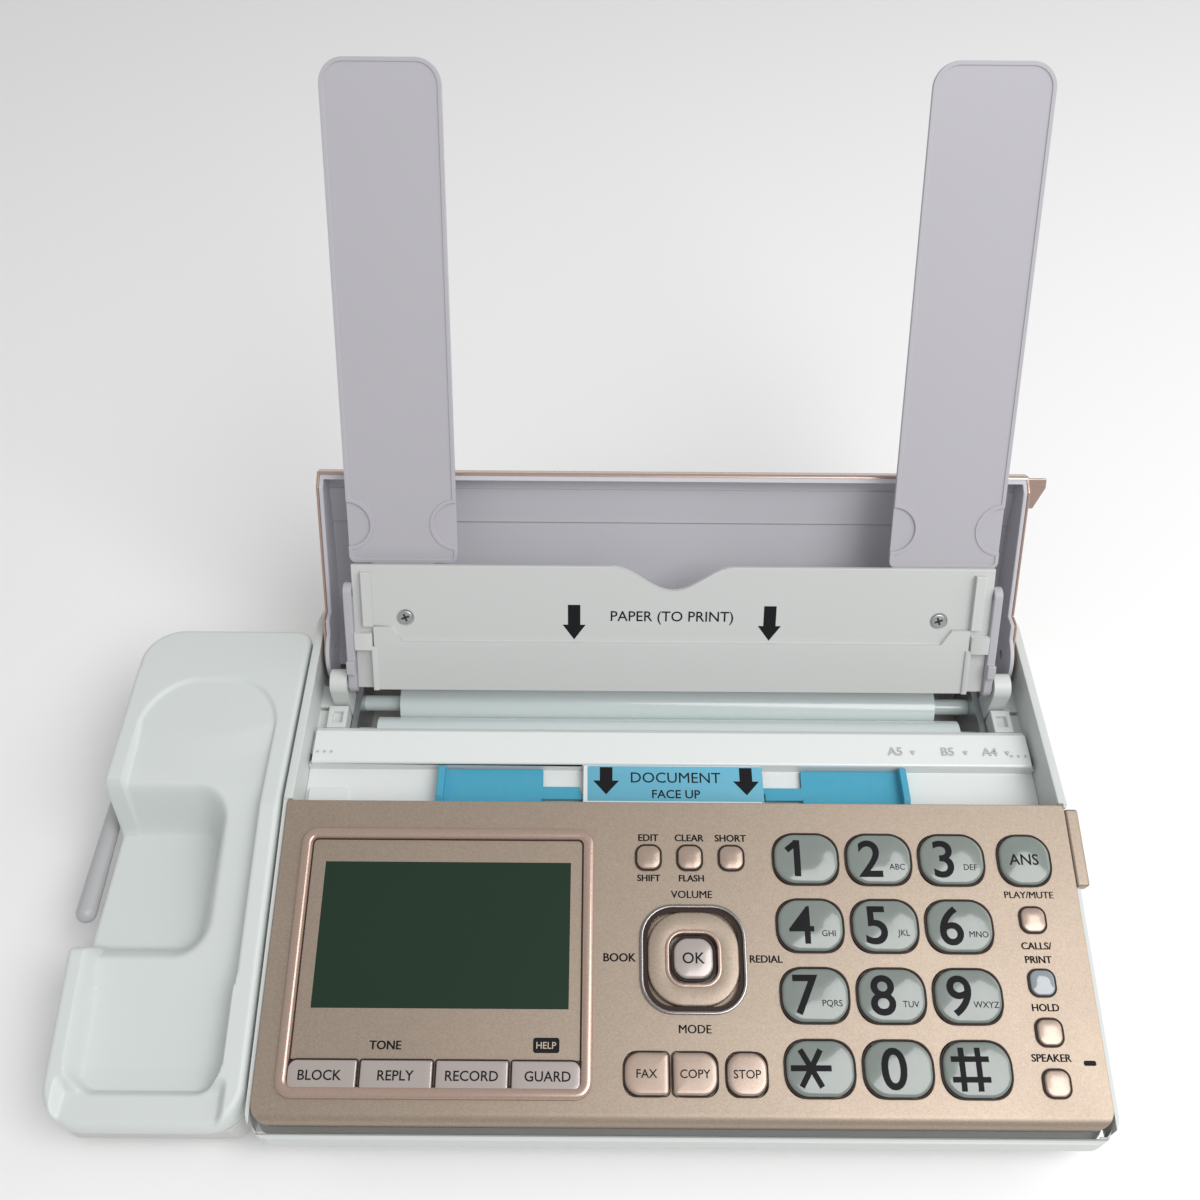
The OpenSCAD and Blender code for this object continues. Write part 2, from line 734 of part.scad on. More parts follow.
// Raised pad at the left end of the recess
module deck_pad() translate([-ledge_half, recess_lip_y + 0.6, recess_lip_h])
  cube([pad_w, pad_l, pad_h]);
module deck_plate() difference() {
  along_x(-wall_in, wall_in) polygon([
    [ledge_back, ledge_h - 0.7 * ledge_bevel], [ledge_back - ledge_bevel, ledge_h - 0.06],
    [ledge_front + 0.6, ledge_edge_h], [ledge_front, ledge_edge_h - 0.6], [ledge_front, recess_h],
    [recess_lip_y, recess_lip_h],
    [deck_front + deck_normal * sin(panel_slope),
      panel_front_h + deck_front * sin(panel_slope) - deck_normal * cos(panel_slope)],
    [deck_front + (deck_normal + deck_t) * sin(panel_slope),
      panel_front_h + deck_front * sin(panel_slope) - (deck_normal + deck_t) * cos(panel_slope)],
    [recess_lip_y, recess_lip_h - deck_t], [ledge_front + deck_t, recess_h - deck_t],
    [ledge_front + deck_t, ledge_edge_h - deck_t], [ledge_back - deck_t, ledge_h - 2 * deck_t],
    [ledge_back - deck_t, ledge_foot], [ledge_back, ledge_foot]]);
  // The ledge stops short of the side walls
  both_sides() translate([ledge_half, ledge_front - 1, recess_h + 2])
    cube([10, ledge_back - ledge_front + 4, 20]);
  // Shallow slots that the guides slide over
  both_sides() translate([guide_x + guide_fin_t, bar_y - 1.6, 0]) cube([22, 6.4, recess_lip_h + 0.3]);
  // Slots for the feed roller and for the image sensor's glass
  for (x = feed_tyre_x) translate([x - feed_tyre_half - 1, feed[0] - 8, feed[1] - 2])
    cube([2 * feed_tyre_half + 2, 16, 14]);
  translate([0, 0, panel_front_h]) rotate([panel_slope, 0, 0])
    translate([-sensor_half - 0.5, sensor_v - sensor_w / 2 - clear_gap, -deck_normal - 10])
      cube([2 * sensor_half + 1, sensor_w + 2 * clear_gap, 20]);
}

module image_sensor() color(DARK) in_place() translate([0, 0, panel_front_h]) rotate([panel_slope, 0, 0])
  translate([-sensor_half, sensor_v - sensor_w / 2, -deck_normal - sensor_h])
    cube([2 * sensor_half, sensor_w, sensor_h]);

module thermal_head() color(STEEL) in_place() {
  top = platen[1] - platen[2] - head_gap;
  translate([-head_w / 2, platen[0] - head_l / 2, top - head_t]) cube([head_w, head_l, head_t]);
  translate([-frame_in, platen[0] - head_bar_l / 2, top - head_t - head_bar_t])
    cube([2 * frame_in, head_bar_l, head_bar_t]);
}

module main_board() color("#2f6b3f") in_place() {
  translate([-circuit_w / 2, circuit_y, floor_top + circuit_rise]) cube([circuit_w, circuit_l, circuit_t]);
  translate([0, circuit_y, floor_top + circuit_rise + circuit_t]) {
    translate([-60, 10, 0]) cube([24, 18, 2.4]);
    translate([30, 8, 0]) cube([16, 16, 2]);
  }
  for (s = [-1, 1], y = [4, circuit_l - 4]) translate([s * (circuit_w / 2 - 4), circuit_y + y, floor_top])
    cylinder(h = circuit_rise, r = 3);
}

module rear_jacks() color(DARK) in_place() difference() {
  translate([jack_x + 0.2, body_depth - jack_d, jack_z + 0.2]) cube([jack_w - 0.4, jack_d, jack_h - 0.4]);
  for (x = [4, 20]) translate([jack_x + x, body_depth - 10, jack_z + 2]) cube([12, 11, 9]);
  translate([jack_x + 44, body_depth + 1, jack_z + jack_h / 2]) rotate([90, 0, 0]) cylinder(h = 11, r = 4.2);
}

module rubber_feet() color(DARK) in_place() {
  for (x = [-112, 112], y = [12, 168]) translate([x, y, 0]) cylinder(h = foot_h, r = foot_r);
  for (y = [14, 150]) translate([cradle_mid, y, 0]) cylinder(h = foot_h, r = foot_r);
}

// Guides slide apart for wider paper; the left one is drawn, the right one mirrors it
module guide(side) color(TEAL) in_place() mirror([side > 0 ? 1 : 0, 0, 0]) {
  slope = (recess_h - recess_lip_h) / (ledge_front - recess_lip_y);
  y0 = recess_lip_y + 3;
  y1 = ledge_front - 0.6;
  z0 = recess_lip_h + 3 * slope + clear_gap;
  z1 = recess_h - 0.6 * slope + clear_gap;
  along_x(-guide_x, -guide_x + sheet_w) polygon([
    [y0, z0], [y1, z1], [y1, z1 + guide_plate_t], [y0, z0 + guide_plate_t]]);
  along_x(-guide_x - guide_fin_t, -guide_x) polygon([
    [y0, z0], [y1, z1], [y1, guide_fin_h - 1], [y1 - 1, guide_fin_h], [y0 + 5, guide_fin_h],
    [y0, z0 + 3]]);
  rack_y = bar_y + (side > 0 ? rack_w + 0.4 : 0);
  translate([-guide_x + sheet_w - 0.1, bar_y, z0 + rack_rise])
    cube([rack_link_w, 2 * rack_w + 0.4, rack_t]);
  translate([-guide_x + sheet_w + rack_link_w - 0.2, rack_y, z0 + rack_rise])
    cube([cover_half + guide_travel - 5, rack_w, rack_t]);
}
module left_guide() guide(-1);
module right_guide() guide(1);

// Wave-shaped finger notch at the top of the tray
module tray_plate_outline() difference() {
  translate([-tray_half, tray_bottom]) square([2 * tray_half, tray_l - tray_bottom]);
  polygon(concat(
    [for (x = [-notch_half:wave_step:notch_half])
      [x, tray_l - notch_depth * (1 + cos(180 * x / notch_half)) / 2]],
    [[notch_half, tray_l + 1], [-notch_half, tray_l + 1]]));
}

module paper_tray() color(TRAY_WHITE) on_tray() difference() {
  union() {
    translate([0, 0, -tray_t / 2]) linear_extrude(tray_t) tray_plate_outline();
    // Stepped lower plate
    translate([0, 0, tray_t / 2]) linear_extrude(step_h) polygon([
      [-paper_w / 2, tray_bottom], [paper_w / 2, tray_bottom], [paper_w / 2, step_edge_y],
      [step_half + 3.4, step_edge_y], [step_half, step_y], [-step_half, step_y],
      [-step_half - 3.4, step_edge_y], [-paper_w / 2, step_edge_y]]);
    both_sides() {
      translate([paper_w / 2, rail_y, 0]) cube([rail_t, rail_l, tray_t / 2 + rail_h]);
      translate([paper_w / 2 + 0.6, stop_y, 0]) cube([stop_w, stop_w, tray_t / 2 + stop_h]);
      // Low wall beside the stepped plate
      translate([paper_w / 2 - 1, tray_bottom, 0]) cube([1.8, 16.5, tray_t / 2 + step_h + 0.8]);
    }
    support_pin(-1, 1);
    support_pin(1, 0);
  }
  both_sides() translate([screw_x, screw_y, tray_t / 2 - screw_d]) cylinder(h = 5, r = screw_r);
}

module tray_arms() color(LAVENDER) on_tray() both_sides() difference() {
  union() {
    along_x(tray_half, tray_half + arm_t) {
      circle(arm_r);
      translate([arm_l, 0]) circle(arm_r);
      translate([0, -arm_r]) square([arm_l, 2 * arm_r]);
      // Heel that meets the tray's side
      translate([5, 0]) square([5, arm_r + 2]);
    }
    bar_x(tray_half, arm_pin_end, arm_pin_r);
  }
  translate([0, arm_l, 0]) bar_x(tray_half - 1, tray_half + 1.2, arm_pin_r - 1);
}

// A support board on its tongue; layer 0 lies next to the tray, layer 1 behind it
module support_board(side, layer) color(LAVENDER) on_tray() {
  back = tray_t / 2 + support_layer + layer * (board_t + support_layer);
  x = side * board_x;
  translate([x, 0, -back - board_t]) difference() {
    linear_extrude(board_t) difference() {
      union() {
        board_outline(0);
        translate([0, support_pivot_up]) circle(tongue_w / 2);
        translate([-tongue_w / 2, support_pivot_up]) square([tongue_w, support_bottom - support_pivot_up + 3]);
      }
      translate([0, support_pivot_up]) circle(support_pin_r + fit_gap);
    }
    // Field inside the raised rim, which runs round the finger recesses
    translate([0, 0, board_t - board_rim_h]) linear_extrude(board_t) difference() {
      board_outline(board_rim_w);
      both_sides() translate([board_w / 2, finger_y]) circle(finger_r + board_rim_w);
    }
    translate([0, 0, board_t - 2 * board_rim_h]) linear_extrude(board_t)
      both_sides() translate([board_w / 2, finger_y]) circle(finger_r);
  }
}
// Outline of a board, moved inwards by a distance
module board_outline(inset) translate([0, support_bottom + inset])
  plate_outline(board_w - 2 * inset, board_l - 2 * inset, board_foot_r - inset, board_corner_r - inset);
// Pin of a support on the back of the tray, with the boss that spaces it and its head
module support_pin(side, layer) translate([side * board_x, support_pivot_up, 0]) {
  near = tray_t / 2 + layer * (board_t + support_layer);
  far = near + support_layer + board_t + support_layer / 2;
  translate([0, 0, -near]) cylinder(h = near, r = support_pin_r + 2);
  translate([0, 0, -far]) cylinder(h = far, r = support_pin_r);
  translate([0, 0, -far - 0.8]) cylinder(h = 0.8, r = support_pin_r + 1.4);
}
module left_support() support_board(-1, 1);
module right_support() support_board(1, 0);

// Back of the lid as an arch; inset moves it inwards
function lid_back(inset) = [
  [lid_reach - inset, -4.6],
  [lid_reach - 1.2 - inset, -7.2 + 0.3 * inset],
  [lid_reach - 4.5 - 0.5 * inset, -9.8 + 0.8 * inset],
  [50, -lid_bulge + 1.3 + inset],
  [30, -lid_bulge + inset],
  [10, -lid_bulge + 0.8 + inset],
  [-2, -10.5 + inset],
  [-8, -7 + 0.8 * inset]];
module lid_side() polygon(concat([[lid_reach, -1]], lid_back(0), [[-lid_arm_r + 2, 0], [0, lid_arm_r - 4],
  [14, lid_arm_r - 4], [16, lid_side_front], [lid_reach - 5, lid_side_front]]));
module lid_hollow(inset) polygon(concat([[lid_reach - inset, 20]], lid_back(inset),
  [[-8.5, -6], [-8.5, -20], [-20, -20], [-20, 20]]));
// A shell of the lid: out is its half width, between the two insets
module lid_shell(out, t, inset) {
  difference() {
    along_x(-out, out) intersection() {
      lid_side();
      lid_hollow(inset);
    }
    along_x(-out + t, out - t) lid_hollow(inset + t);
  }
  both_sides() along_x(out - t, out) intersection() {
    circle(lid_arm_r);
    lid_hollow(inset);
  }
}

module lid_skin() color(CHAMPAGNE) on_lid() difference() {
  union() {
    difference() {
      along_x(-lid_half, lid_half) lid_side();
      along_x(-lid_half + lid_skin_t, lid_half - lid_skin_t) lid_hollow(lid_skin_t);
    }
    both_sides() along_x(lid_half - lid_skin_t, lid_half) circle(lid_skin_arm_r);
    // Finger tab that carries on the line of the panel's release lever
    translate([0, 0, lid_tab_n]) linear_extrude(lid_tab_t) polygon([
      [lid_half - 0.5, lid_reach - 1], [lid_half + lid_tab_w, lid_reach - 1],
      [lid_half + lid_tab_w, lid_reach - 4.4], [lid_half + 3, lid_reach - 12],
      [lid_half - 0.5, lid_reach - 12]]);
  }
  both_sides() bar_x(lid_half - lid_skin_t - 1, lid_half + 1, lid_pin_r);
}
module lid_liner() color(LAVENDER) on_lid() {
  side_out = lid_half - lid_skin_t;
  difference() {
    union() {
      lid_shell(side_out, lid_liner_t, lid_skin_t);
      both_sides() bar_x(side_out - lid_liner_t, lid_pin_end, lid_pin_r);
      // Step across the inside that stiffens the lid
      along_x(-side_out + 1, side_out - 1) polygon([
        for (i = [0:2]) [liner_step[i], liner_step_n[i] - lid_bulge],
        for (i = [2:-1:0]) [liner_step[i], liner_step_n[i] - 0.9 - lid_bulge]]);
    }
    // Hollow pins
    both_sides() bar_x(side_out - lid_liner_t - 1, lid_pin_end - 1, lid_pin_bore_r);
  }
}

// Cradle: its top follows the body's slope and flat rear part
module cradle_plan(inset) translate([cradle_mid, cradle_front + inset])
  plate_outline(cradle_right - cradle_left - 2 * inset, cradle_l - 2 * inset,
    cradle_front_r - inset, cradle_back_r - inset);
// Hollow with sloping walls, cut down from Z = 0
module hollow(w, l, r, depth, wall) hull() {
  translate([0, 0, -depth]) linear_extrude(0.5) rounded_rect(w - 2 * wall, l - 2 * wall, r - wall, $fn = 32);
  linear_extrude(20) rounded_rect(w, l, r, $fn = 32);
}
// Round-edged plate from x0 to x1 and y0 to y1
module floor_plate(x0, x1, y0, y1, z, r) translate([(x0 + x1) / 2, (y0 + y1) / 2, z])
  linear_extrude(0.5) rounded_rect(x1 - x0, y1 - y0, r, $fn = 32);
module cradle_top() color(WHITE) in_place() difference() {
  intersection() {
    along_x(cradle_left, cradle_right) polygon([
      [cradle_front + undercut, parting_h], [cradle_front, parting_h + belly_rise],
      [cradle_front + 0.4, panel_front_h - 4.6], [cradle_front + 2, panel_front_h - 1.6],
      [cradle_front + cradle_edge, panel_front_h + 0.9],
      [back_y, deck_h], [cradle_front + cradle_l - cradle_edge, deck_h],
      [cradle_front + cradle_l - 1.5, deck_h - 3], [cradle_front + cradle_l, deck_h - 9],
      [cradle_front + cradle_l, parting_h]]);
    linear_extrude(80) cradle_plan(0);
  }
  // Ear end: a shallow hollow with a crowned back on the flat part
  hull() {
    translate([cradle_mid, ear_y, deck_h]) hollow(2 * hollow_half, ear_l, ear_r, cradle_hollow, 2);
    floor_plate(cradle_mid - 8, cradle_mid + 8, ear_y, ear_y + ear_l / 2 + ear_crown - 4,
      deck_h - cradle_hollow, 4);
  }
  // Trough, which deepens towards the mouth end
  hull() {
    translate([0, 0, panel_front_h]) rotate([panel_slope, 0, 0]) {
      floor_plate(cradle_mid - hollow_half + 2, cradle_mid + hollow_half - 2, trough_top - 20, trough_top,
        -cradle_hollow, 4);
      floor_plate(cradle_mid - hollow_half, cradle_mid + hollow_half, trough_top - 20, trough_top, 10, 4);
    }
    floor_plate(cradle_mid - hollow_half + 4, cradle_mid + hollow_half - 4, mouth_front + 2, mouth_front + 20,
      mouth_floor_h + 3, 8);
    floor_plate(cradle_mid - hollow_half, cradle_mid + hollow_half, mouth_front, mouth_front + 20, 60, 10);
  }
  // Floor under the mouth end
  hull() {
    floor_plate(cradle_mid - hollow_half + 1, cradle_mid, mouth_front, mouth_back, mouth_floor_h, 6);
    floor_plate(cradle_mid - hollow_half - 1, cradle_mid + 16, mouth_front - 0.5, mouth_back, 36, 8);
  }
  // Slope up to the front lip
  along_x(cradle_mid - hollow_half - 1, cradle_mid + hollow_half) polygon([
    [cradle_front + 2.6, 60], [cradle_front + 2.6, lip_h + 0.1], [lip_flat_y, lip_h],
    [mouth_front + 0.5, mouth_floor_h + 0.6], [mouth_front + 2, 60]]);
  // Finger well, open to the left
  hull() {
    floor_plate(cradle_left - 20, well_right - well_fillet, well_front + 4, well_back - 2, well_floor_h, 8);
    floor_plate(cradle_left - 20, well_right, well_front, well_back, well_floor_h + well_fillet, 12);
  }
  hull() {
    floor_plate(cradle_left - 20, well_right, well_front, well_back, well_floor_h + well_fillet, 12);
    floor_plate(cradle_left - 20, well_right, well_front - 6, well_back + 6, deck_h + 8, 12);
  }
  translate([0, antenna_y, antenna_z])
    bar_x(cradle_left - 1, cradle_left + antenna_pin_l + clear_gap, antenna_pin_r + fit_gap);
}
module cradle_base() color(WHITE) in_place() difference() {
  union() {
    intersection() {
      translate([0, 0, foot_h]) linear_extrude(parting_h - foot_h) cradle_plan(cradle_base_in);
      along_x(cradle_left, cradle_right) polygon([
        [cradle_front + undercut + 1, foot_h - 1], [cradle_front + undercut, parting_h + 1],
        [cradle_front + cradle_l, parting_h + 1], [cradle_front + cradle_l, foot_h - 1]]);
    }
    // Link under the gap that holds the cradle on the machine's pan
    translate([cradle_right - 20, link_y, foot_h])
      cube([-body_half - cradle_right + 20, link_l, parting_h - foot_h - 1]);
  }
  translate([0, 0, floor_top]) linear_extrude(parting_h) intersection() {
    cradle_plan(cradle_wall);
    translate([cradle_left, cradle_front + undercut + cradle_wall + 0.5]) square([cradle_w, cradle_l]);
  }
}

// Stick antenna that lies along the cradle's side and swings up
module antenna() color(STEEL) in_place() translate([antenna_x, antenna_y, antenna_z]) {
  rotate([90, 0, 0]) cylinder(h = antenna_l - antenna_r, r1 = antenna_root_r, r2 = antenna_r);
  translate([0, -antenna_l + antenna_r, 0]) sphere(antenna_r);
  bar_x(-antenna_hub_half, antenna_hub_half, antenna_hub_r);
  bar_x(0, cradle_left - antenna_x + antenna_pin_l, antenna_pin_r);
}

base_pan();
main_case();
chassis();
document_deck();
rubber_feet();
platen_roller();
thermal_head();
film_supply_roll();
film_take_up_roll();
image_sensor();
document_roller();
main_board();
rear_jacks();
cradle_base();
cradle_top();
antenna();
operation_panel();
panel_frame();
display_frame();
display_glass();
navigation_ring();
key_board();
release_lever();
left_guide();
right_guide();
lid_skin();
lid_liner();
paper_tray();
tray_arms();
left_support();
right_support();
dial_key(0, 0);  // dial_key_1
dial_key(1, 0);  // dial_key_2
dial_key(2, 0);  // dial_key_3
dial_key(0, 1);  // dial_key_4
dial_key(1, 1);  // dial_key_5
dial_key(2, 1);  // dial_key_6
dial_key(0, 2);  // dial_key_7
dial_key(1, 2);  // dial_key_8
dial_key(2, 2);  // dial_key_9
dial_key(0, 3);  // dial_key_star
dial_key(1, 3);  // dial_key_0
dial_key(2, 3);  // dial_key_hash
answering_key();
small_square_key(column_x, column_y[0], CHAMPAGNE);  // playback_key
small_square_key(column_x, column_y[1], SMOKE);  // call_log_key
small_square_key(column_x, column_y[2], CHAMPAGNE);  // hold_key
small_square_key(column_x, column_y[3], CHAMPAGNE);  // speaker_key
small_square_key(small_row_x[0], small_row_y, CHAMPAGNE);  // edit_key
small_square_key(small_row_x[1], small_row_y, CHAMPAGNE);  // clear_key
small_square_key(small_row_x[2], small_row_y, CHAMPAGNE);  // shortcut_key
navigation_key();
select_key();
action_key(0);  // fax_key
action_key(1);  // copy_key
action_key(2);  // stop_key
soft_key(0);  // soft_key_1
soft_key(1);  // soft_key_2
soft_key(2);  // soft_key_3
soft_key(3);  // soft_key_4
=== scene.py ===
import json
import math

import bmesh
import bpy
from mathutils import Matrix, Vector
from mathutils.bvhtree import BVHTree


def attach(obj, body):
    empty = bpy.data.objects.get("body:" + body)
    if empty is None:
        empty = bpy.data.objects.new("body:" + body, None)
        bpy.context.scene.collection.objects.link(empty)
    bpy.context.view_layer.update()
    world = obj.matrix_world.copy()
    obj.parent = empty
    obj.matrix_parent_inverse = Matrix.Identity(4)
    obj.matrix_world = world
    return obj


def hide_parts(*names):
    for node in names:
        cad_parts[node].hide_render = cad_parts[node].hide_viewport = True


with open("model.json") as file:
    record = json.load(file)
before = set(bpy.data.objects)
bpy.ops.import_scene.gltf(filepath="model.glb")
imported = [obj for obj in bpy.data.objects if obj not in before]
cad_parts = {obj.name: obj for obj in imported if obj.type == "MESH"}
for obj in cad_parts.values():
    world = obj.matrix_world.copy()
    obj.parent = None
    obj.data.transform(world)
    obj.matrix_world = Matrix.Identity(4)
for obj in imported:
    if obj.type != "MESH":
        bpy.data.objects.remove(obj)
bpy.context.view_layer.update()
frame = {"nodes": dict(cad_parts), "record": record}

nodes = frame["nodes"]

MM = 0.001
# Sizes are in millimetres, in the machine's own frame. Its X = 0 is the middle of the panel, and its Y = 0 the
# panel's front edge
MACHINE_X, MACHINE_Y = 33.75, -129.3731
PANEL_FRONT_H = 26
PANEL_LENGTH = 99.4
SLOPE = math.radians(13)
LEAN = math.radians(58.6)
BACK_Y = PANEL_LENGTH * math.cos(SLOPE)
DECK_H = PANEL_FRONT_H + PANEL_LENGTH * math.sin(SLOPE)
TRAY_BEHIND_PANEL = 51.4
TRAY_BELOW_DECK = 5.4
MACHINE = Matrix.Scale(MM, 4) @ Matrix.Translation((MACHINE_X, MACHINE_Y, 0))
ON_PANEL = MACHINE @ Matrix.Translation((0, 0, PANEL_FRONT_H)) @ Matrix.Rotation(SLOPE, 4, "X")
ON_TRAY = (MACHINE @ Matrix.Translation((0, BACK_Y + TRAY_BEHIND_PANEL, DECK_H - TRAY_BELOW_DECK))
           @ Matrix.Rotation(LEAN, 4, "X"))


# ---------------------------------------------------------------- shader groups

def new_group(name, inputs, outputs):
    """A shader node group with its sockets, then its input node and its output node."""
    group = bpy.data.node_groups.new(name, "ShaderNodeTree")
    for socket, kind, value in inputs:
        made = group.interface.new_socket(socket, in_out="INPUT", socket_type=kind)
        made.default_value = value
    for socket, kind in outputs:
        group.interface.new_socket(socket, in_out="OUTPUT", socket_type=kind)
    return group, group.nodes.new("NodeGroupInput"), group.nodes.new("NodeGroupOutput")


def math_node(tree, operation, first, second, clamp=False):
    """The result of a sum on two values, each a number or a socket."""
    node = tree.nodes.new("ShaderNodeMath")
    node.operation = operation
    node.use_clamp = clamp
    for socket, value in zip(node.inputs, (first, second)):
        if isinstance(value, (int, float)):
            socket.default_value = value
        else:
            tree.links.new(value, socket)
    return node.outputs[0]


def noise(tree, vector, scale, detail, roughness):
    """Soft noise about 0.5, at a scale that is a number or a socket."""
    node = tree.nodes.new("ShaderNodeTexNoise")
    node.inputs["Detail"].default_value = detail
    node.inputs["Roughness"].default_value = roughness
    if isinstance(scale, (int, float)):
        node.inputs["Scale"].default_value = scale
    else:
        tree.links.new(scale, node.inputs["Scale"])
    tree.links.new(vector, node.inputs["Vector"])
    return node.outputs["Fac"]


def lay_colour(tree, mask, under, over):
    """One colour with another laid over it where the mask is 1."""
    node = tree.nodes.new("ShaderNodeMix")
    node.data_type = "RGBA"
    for socket, value in ((node.inputs[0], mask), (node.inputs[6], under), (node.inputs[7], over)):
        tree.links.new(value, socket)
    return node.outputs[2]


def scale_colour(tree, colour, factor):
    """A colour made brighter or darker by a socket."""
    node = tree.nodes.new("ShaderNodeVectorMath")
    node.operation = "SCALE"
    tree.links.new(colour, node.inputs[0])
    tree.links.new(factor, node.inputs["Scale"])
    return node.outputs[0]


def make_tone_group():
    """Slow changes of tone over a moulding, with a little settled dust on what faces up."""
    group, given, out = new_group(
        "tone",
        [("Vector", "NodeSocketVector", (0, 0, 0)), ("Colour", "NodeSocketColor", (0.8, 0.8, 0.8, 1)),
         ("Scale", "NodeSocketFloat", 12.0), ("Amount", "NodeSocketFloat", 0.05),
         ("Dust", "NodeSocketFloat", 0.05), ("Dust Colour", "NodeSocketColor", (0.6, 0.58, 0.54, 1))],
        [("Colour", "NodeSocketColor")])
    slow = noise(group, given.outputs["Vector"], given.outputs["Scale"], 3.0, 0.6)
    swing = math_node(group, "MULTIPLY", math_node(group, "SUBTRACT", slow, 0.5), given.outputs["Amount"])
    bright = math_node(group, "ADD", 1.0, math_node(group, "MULTIPLY", swing, 2.0))
    toned = scale_colour(group, given.outputs["Colour"], bright)
    shape = group.nodes.new("ShaderNodeNewGeometry")
    split = group.nodes.new("ShaderNodeSeparateXYZ")
    group.links.new(shape.outputs["Normal"], split.inputs[0])
    facing_up = math_node(group, "MAXIMUM", split.outputs["Z"], 0.0)
    fine = noise(group, given.outputs["Vector"], 260.0, 4.0, 0.7)
    speck = math_node(group, "SUBTRACT", fine, 0.45, clamp=True)
    speck = math_node(group, "MULTIPLY", speck, 3.0, clamp=True)
    lying = math_node(group, "MULTIPLY", facing_up, speck)
    mask = math_node(group, "MULTIPLY", lying, given.outputs["Dust"], clamp=True)
    dusty = lay_colour(group, mask, toned, given.outputs["Dust Colour"])
    group.links.new(dusty, out.inputs["Colour"])
    return group


def make_grain_group():
    """The fine erosion texture of a moulding tool, as a height and a roughness."""
    group, given, out = new_group(
        "grain",
        [("Vector", "NodeSocketVector", (0, 0, 0)), ("Scale", "NodeSocketFloat", 1500.0),
         ("Roughness", "NodeSocketFloat", 0.5), ("Spread", "NodeSocketFloat", 0.06)],
        [("Height", "NodeSocketFloat"), ("Roughness", "NodeSocketFloat")])
    fine = noise(group, given.outputs["Vector"], given.outputs["Scale"], 2.0, 0.6)
    broad = noise(group, given.outputs["Vector"], 30.0, 3.0, 0.5)
    group.links.new(fine, out.inputs["Height"])
    swing = math_node(group, "MULTIPLY", math_node(group, "SUBTRACT", broad, 0.5), given.outputs["Spread"])
    swing = math_node(group, "MULTIPLY", swing, 2.0)
    rough = math_node(group, "ADD", swing, given.outputs["Roughness"], clamp=True)
    group.links.new(rough, out.inputs["Roughness"])
    return group


def make_flake_group():
    """Metal flakes in a lacquer: tiny facets that differ in tone."""
    group, given, out = new_group(
        "flake",
        [("Vector", "NodeSocketVector", (0, 0, 0)), ("Colour", "NodeSocketColor", (0.8, 0.8, 0.8, 1)),
         ("Scale", "NodeSocketFloat", 3200.0), ("Sparkle", "NodeSocketFloat", 0.25)],
        [("Colour", "NodeSocketColor"), ("Height", "NodeSocketFloat")])
    cells = group.nodes.new("ShaderNodeTexVoronoi")
    group.links.new(given.outputs["Vector"], cells.inputs["Vector"])
    group.links.new(given.outputs["Scale"], cells.inputs["Scale"])
    split = group.nodes.new("ShaderNodeSeparateColor")
    group.links.new(cells.outputs["Color"], split.inputs[0])
    swing = math_node(group, "SUBTRACT", split.outputs[0], 0.5)
    bright = math_node(group, "ADD", 1.0, math_node(group, "MULTIPLY", swing, given.outputs["Sparkle"]))
    lit = scale_colour(group, given.outputs["Colour"], bright)
    group.links.new(lit, out.inputs["Colour"])
    group.links.new(split.outputs[1], out.inputs["Height"])
    return group


TONE = make_tone_group()
GRAIN = make_grain_group()
FLAKE = make_flake_group()


# -------------------------------------------------------------------- materials

def plastic(name, colour, roughness, grain=1500.0, bump=0.04, tone=0.03, dust=0.04, metallic=0.0,
            sparkle=0.0, coat=0.0, coat_roughness=0.1, specular=0.5, spread=0.05):
    """A moulded plastic or lacquered finish on Object coordinates."""
    material = bpy.data.materials.new(name)
    material.use_nodes = True
    tree = material.node_tree
    shader = tree.nodes["Principled BSDF"]
    place = tree.nodes.new("ShaderNodeTexCoord").outputs["Object"]
    tones = tree.nodes.new("ShaderNodeGroup")
    tones.node_tree = TONE
    tones.inputs["Colour"].default_value = (*colour, 1)
    tones.inputs["Amount"].default_value = tone
    tones.inputs["Dust"].default_value = dust
    tree.links.new(place, tones.inputs["Vector"])
    shade = tones.outputs["Colour"]
    texture = tree.nodes.new("ShaderNodeGroup")
    texture.node_tree = GRAIN
    texture.inputs["Scale"].default_value = grain
    texture.inputs["Roughness"].default_value = roughness
    texture.inputs["Spread"].default_value = spread
    tree.links.new(place, texture.inputs["Vector"])
    height = texture.outputs["Height"]
    if sparkle:
        flakes = tree.nodes.new("ShaderNodeGroup")
        flakes.node_tree = FLAKE
        flakes.inputs["Sparkle"].default_value = sparkle
        tree.links.new(place, flakes.inputs["Vector"])
        tree.links.new(shade, flakes.inputs["Colour"])
        shade = flakes.outputs["Colour"]
        height = flakes.outputs["Height"]
    tree.links.new(shade, shader.inputs["Base Color"])
    tree.links.new(texture.outputs["Roughness"], shader.inputs["Roughness"])
    if bump:
        relief = tree.nodes.new("ShaderNodeBump")
        relief.inputs["Strength"].default_value = bump
        relief.inputs["Distance"].default_value = 0.0002
        tree.links.new(height, relief.inputs["Height"])
        tree.links.new(relief.outputs["Normal"], shader.inputs["Normal"])
    shader.inputs["Metallic"].default_value = metallic
    shader.inputs["Coat Weight"].default_value = coat
    shader.inputs["Coat Roughness"].default_value = coat_roughness
    shader.inputs["Specular IOR Level"].default_value = specular
    return material


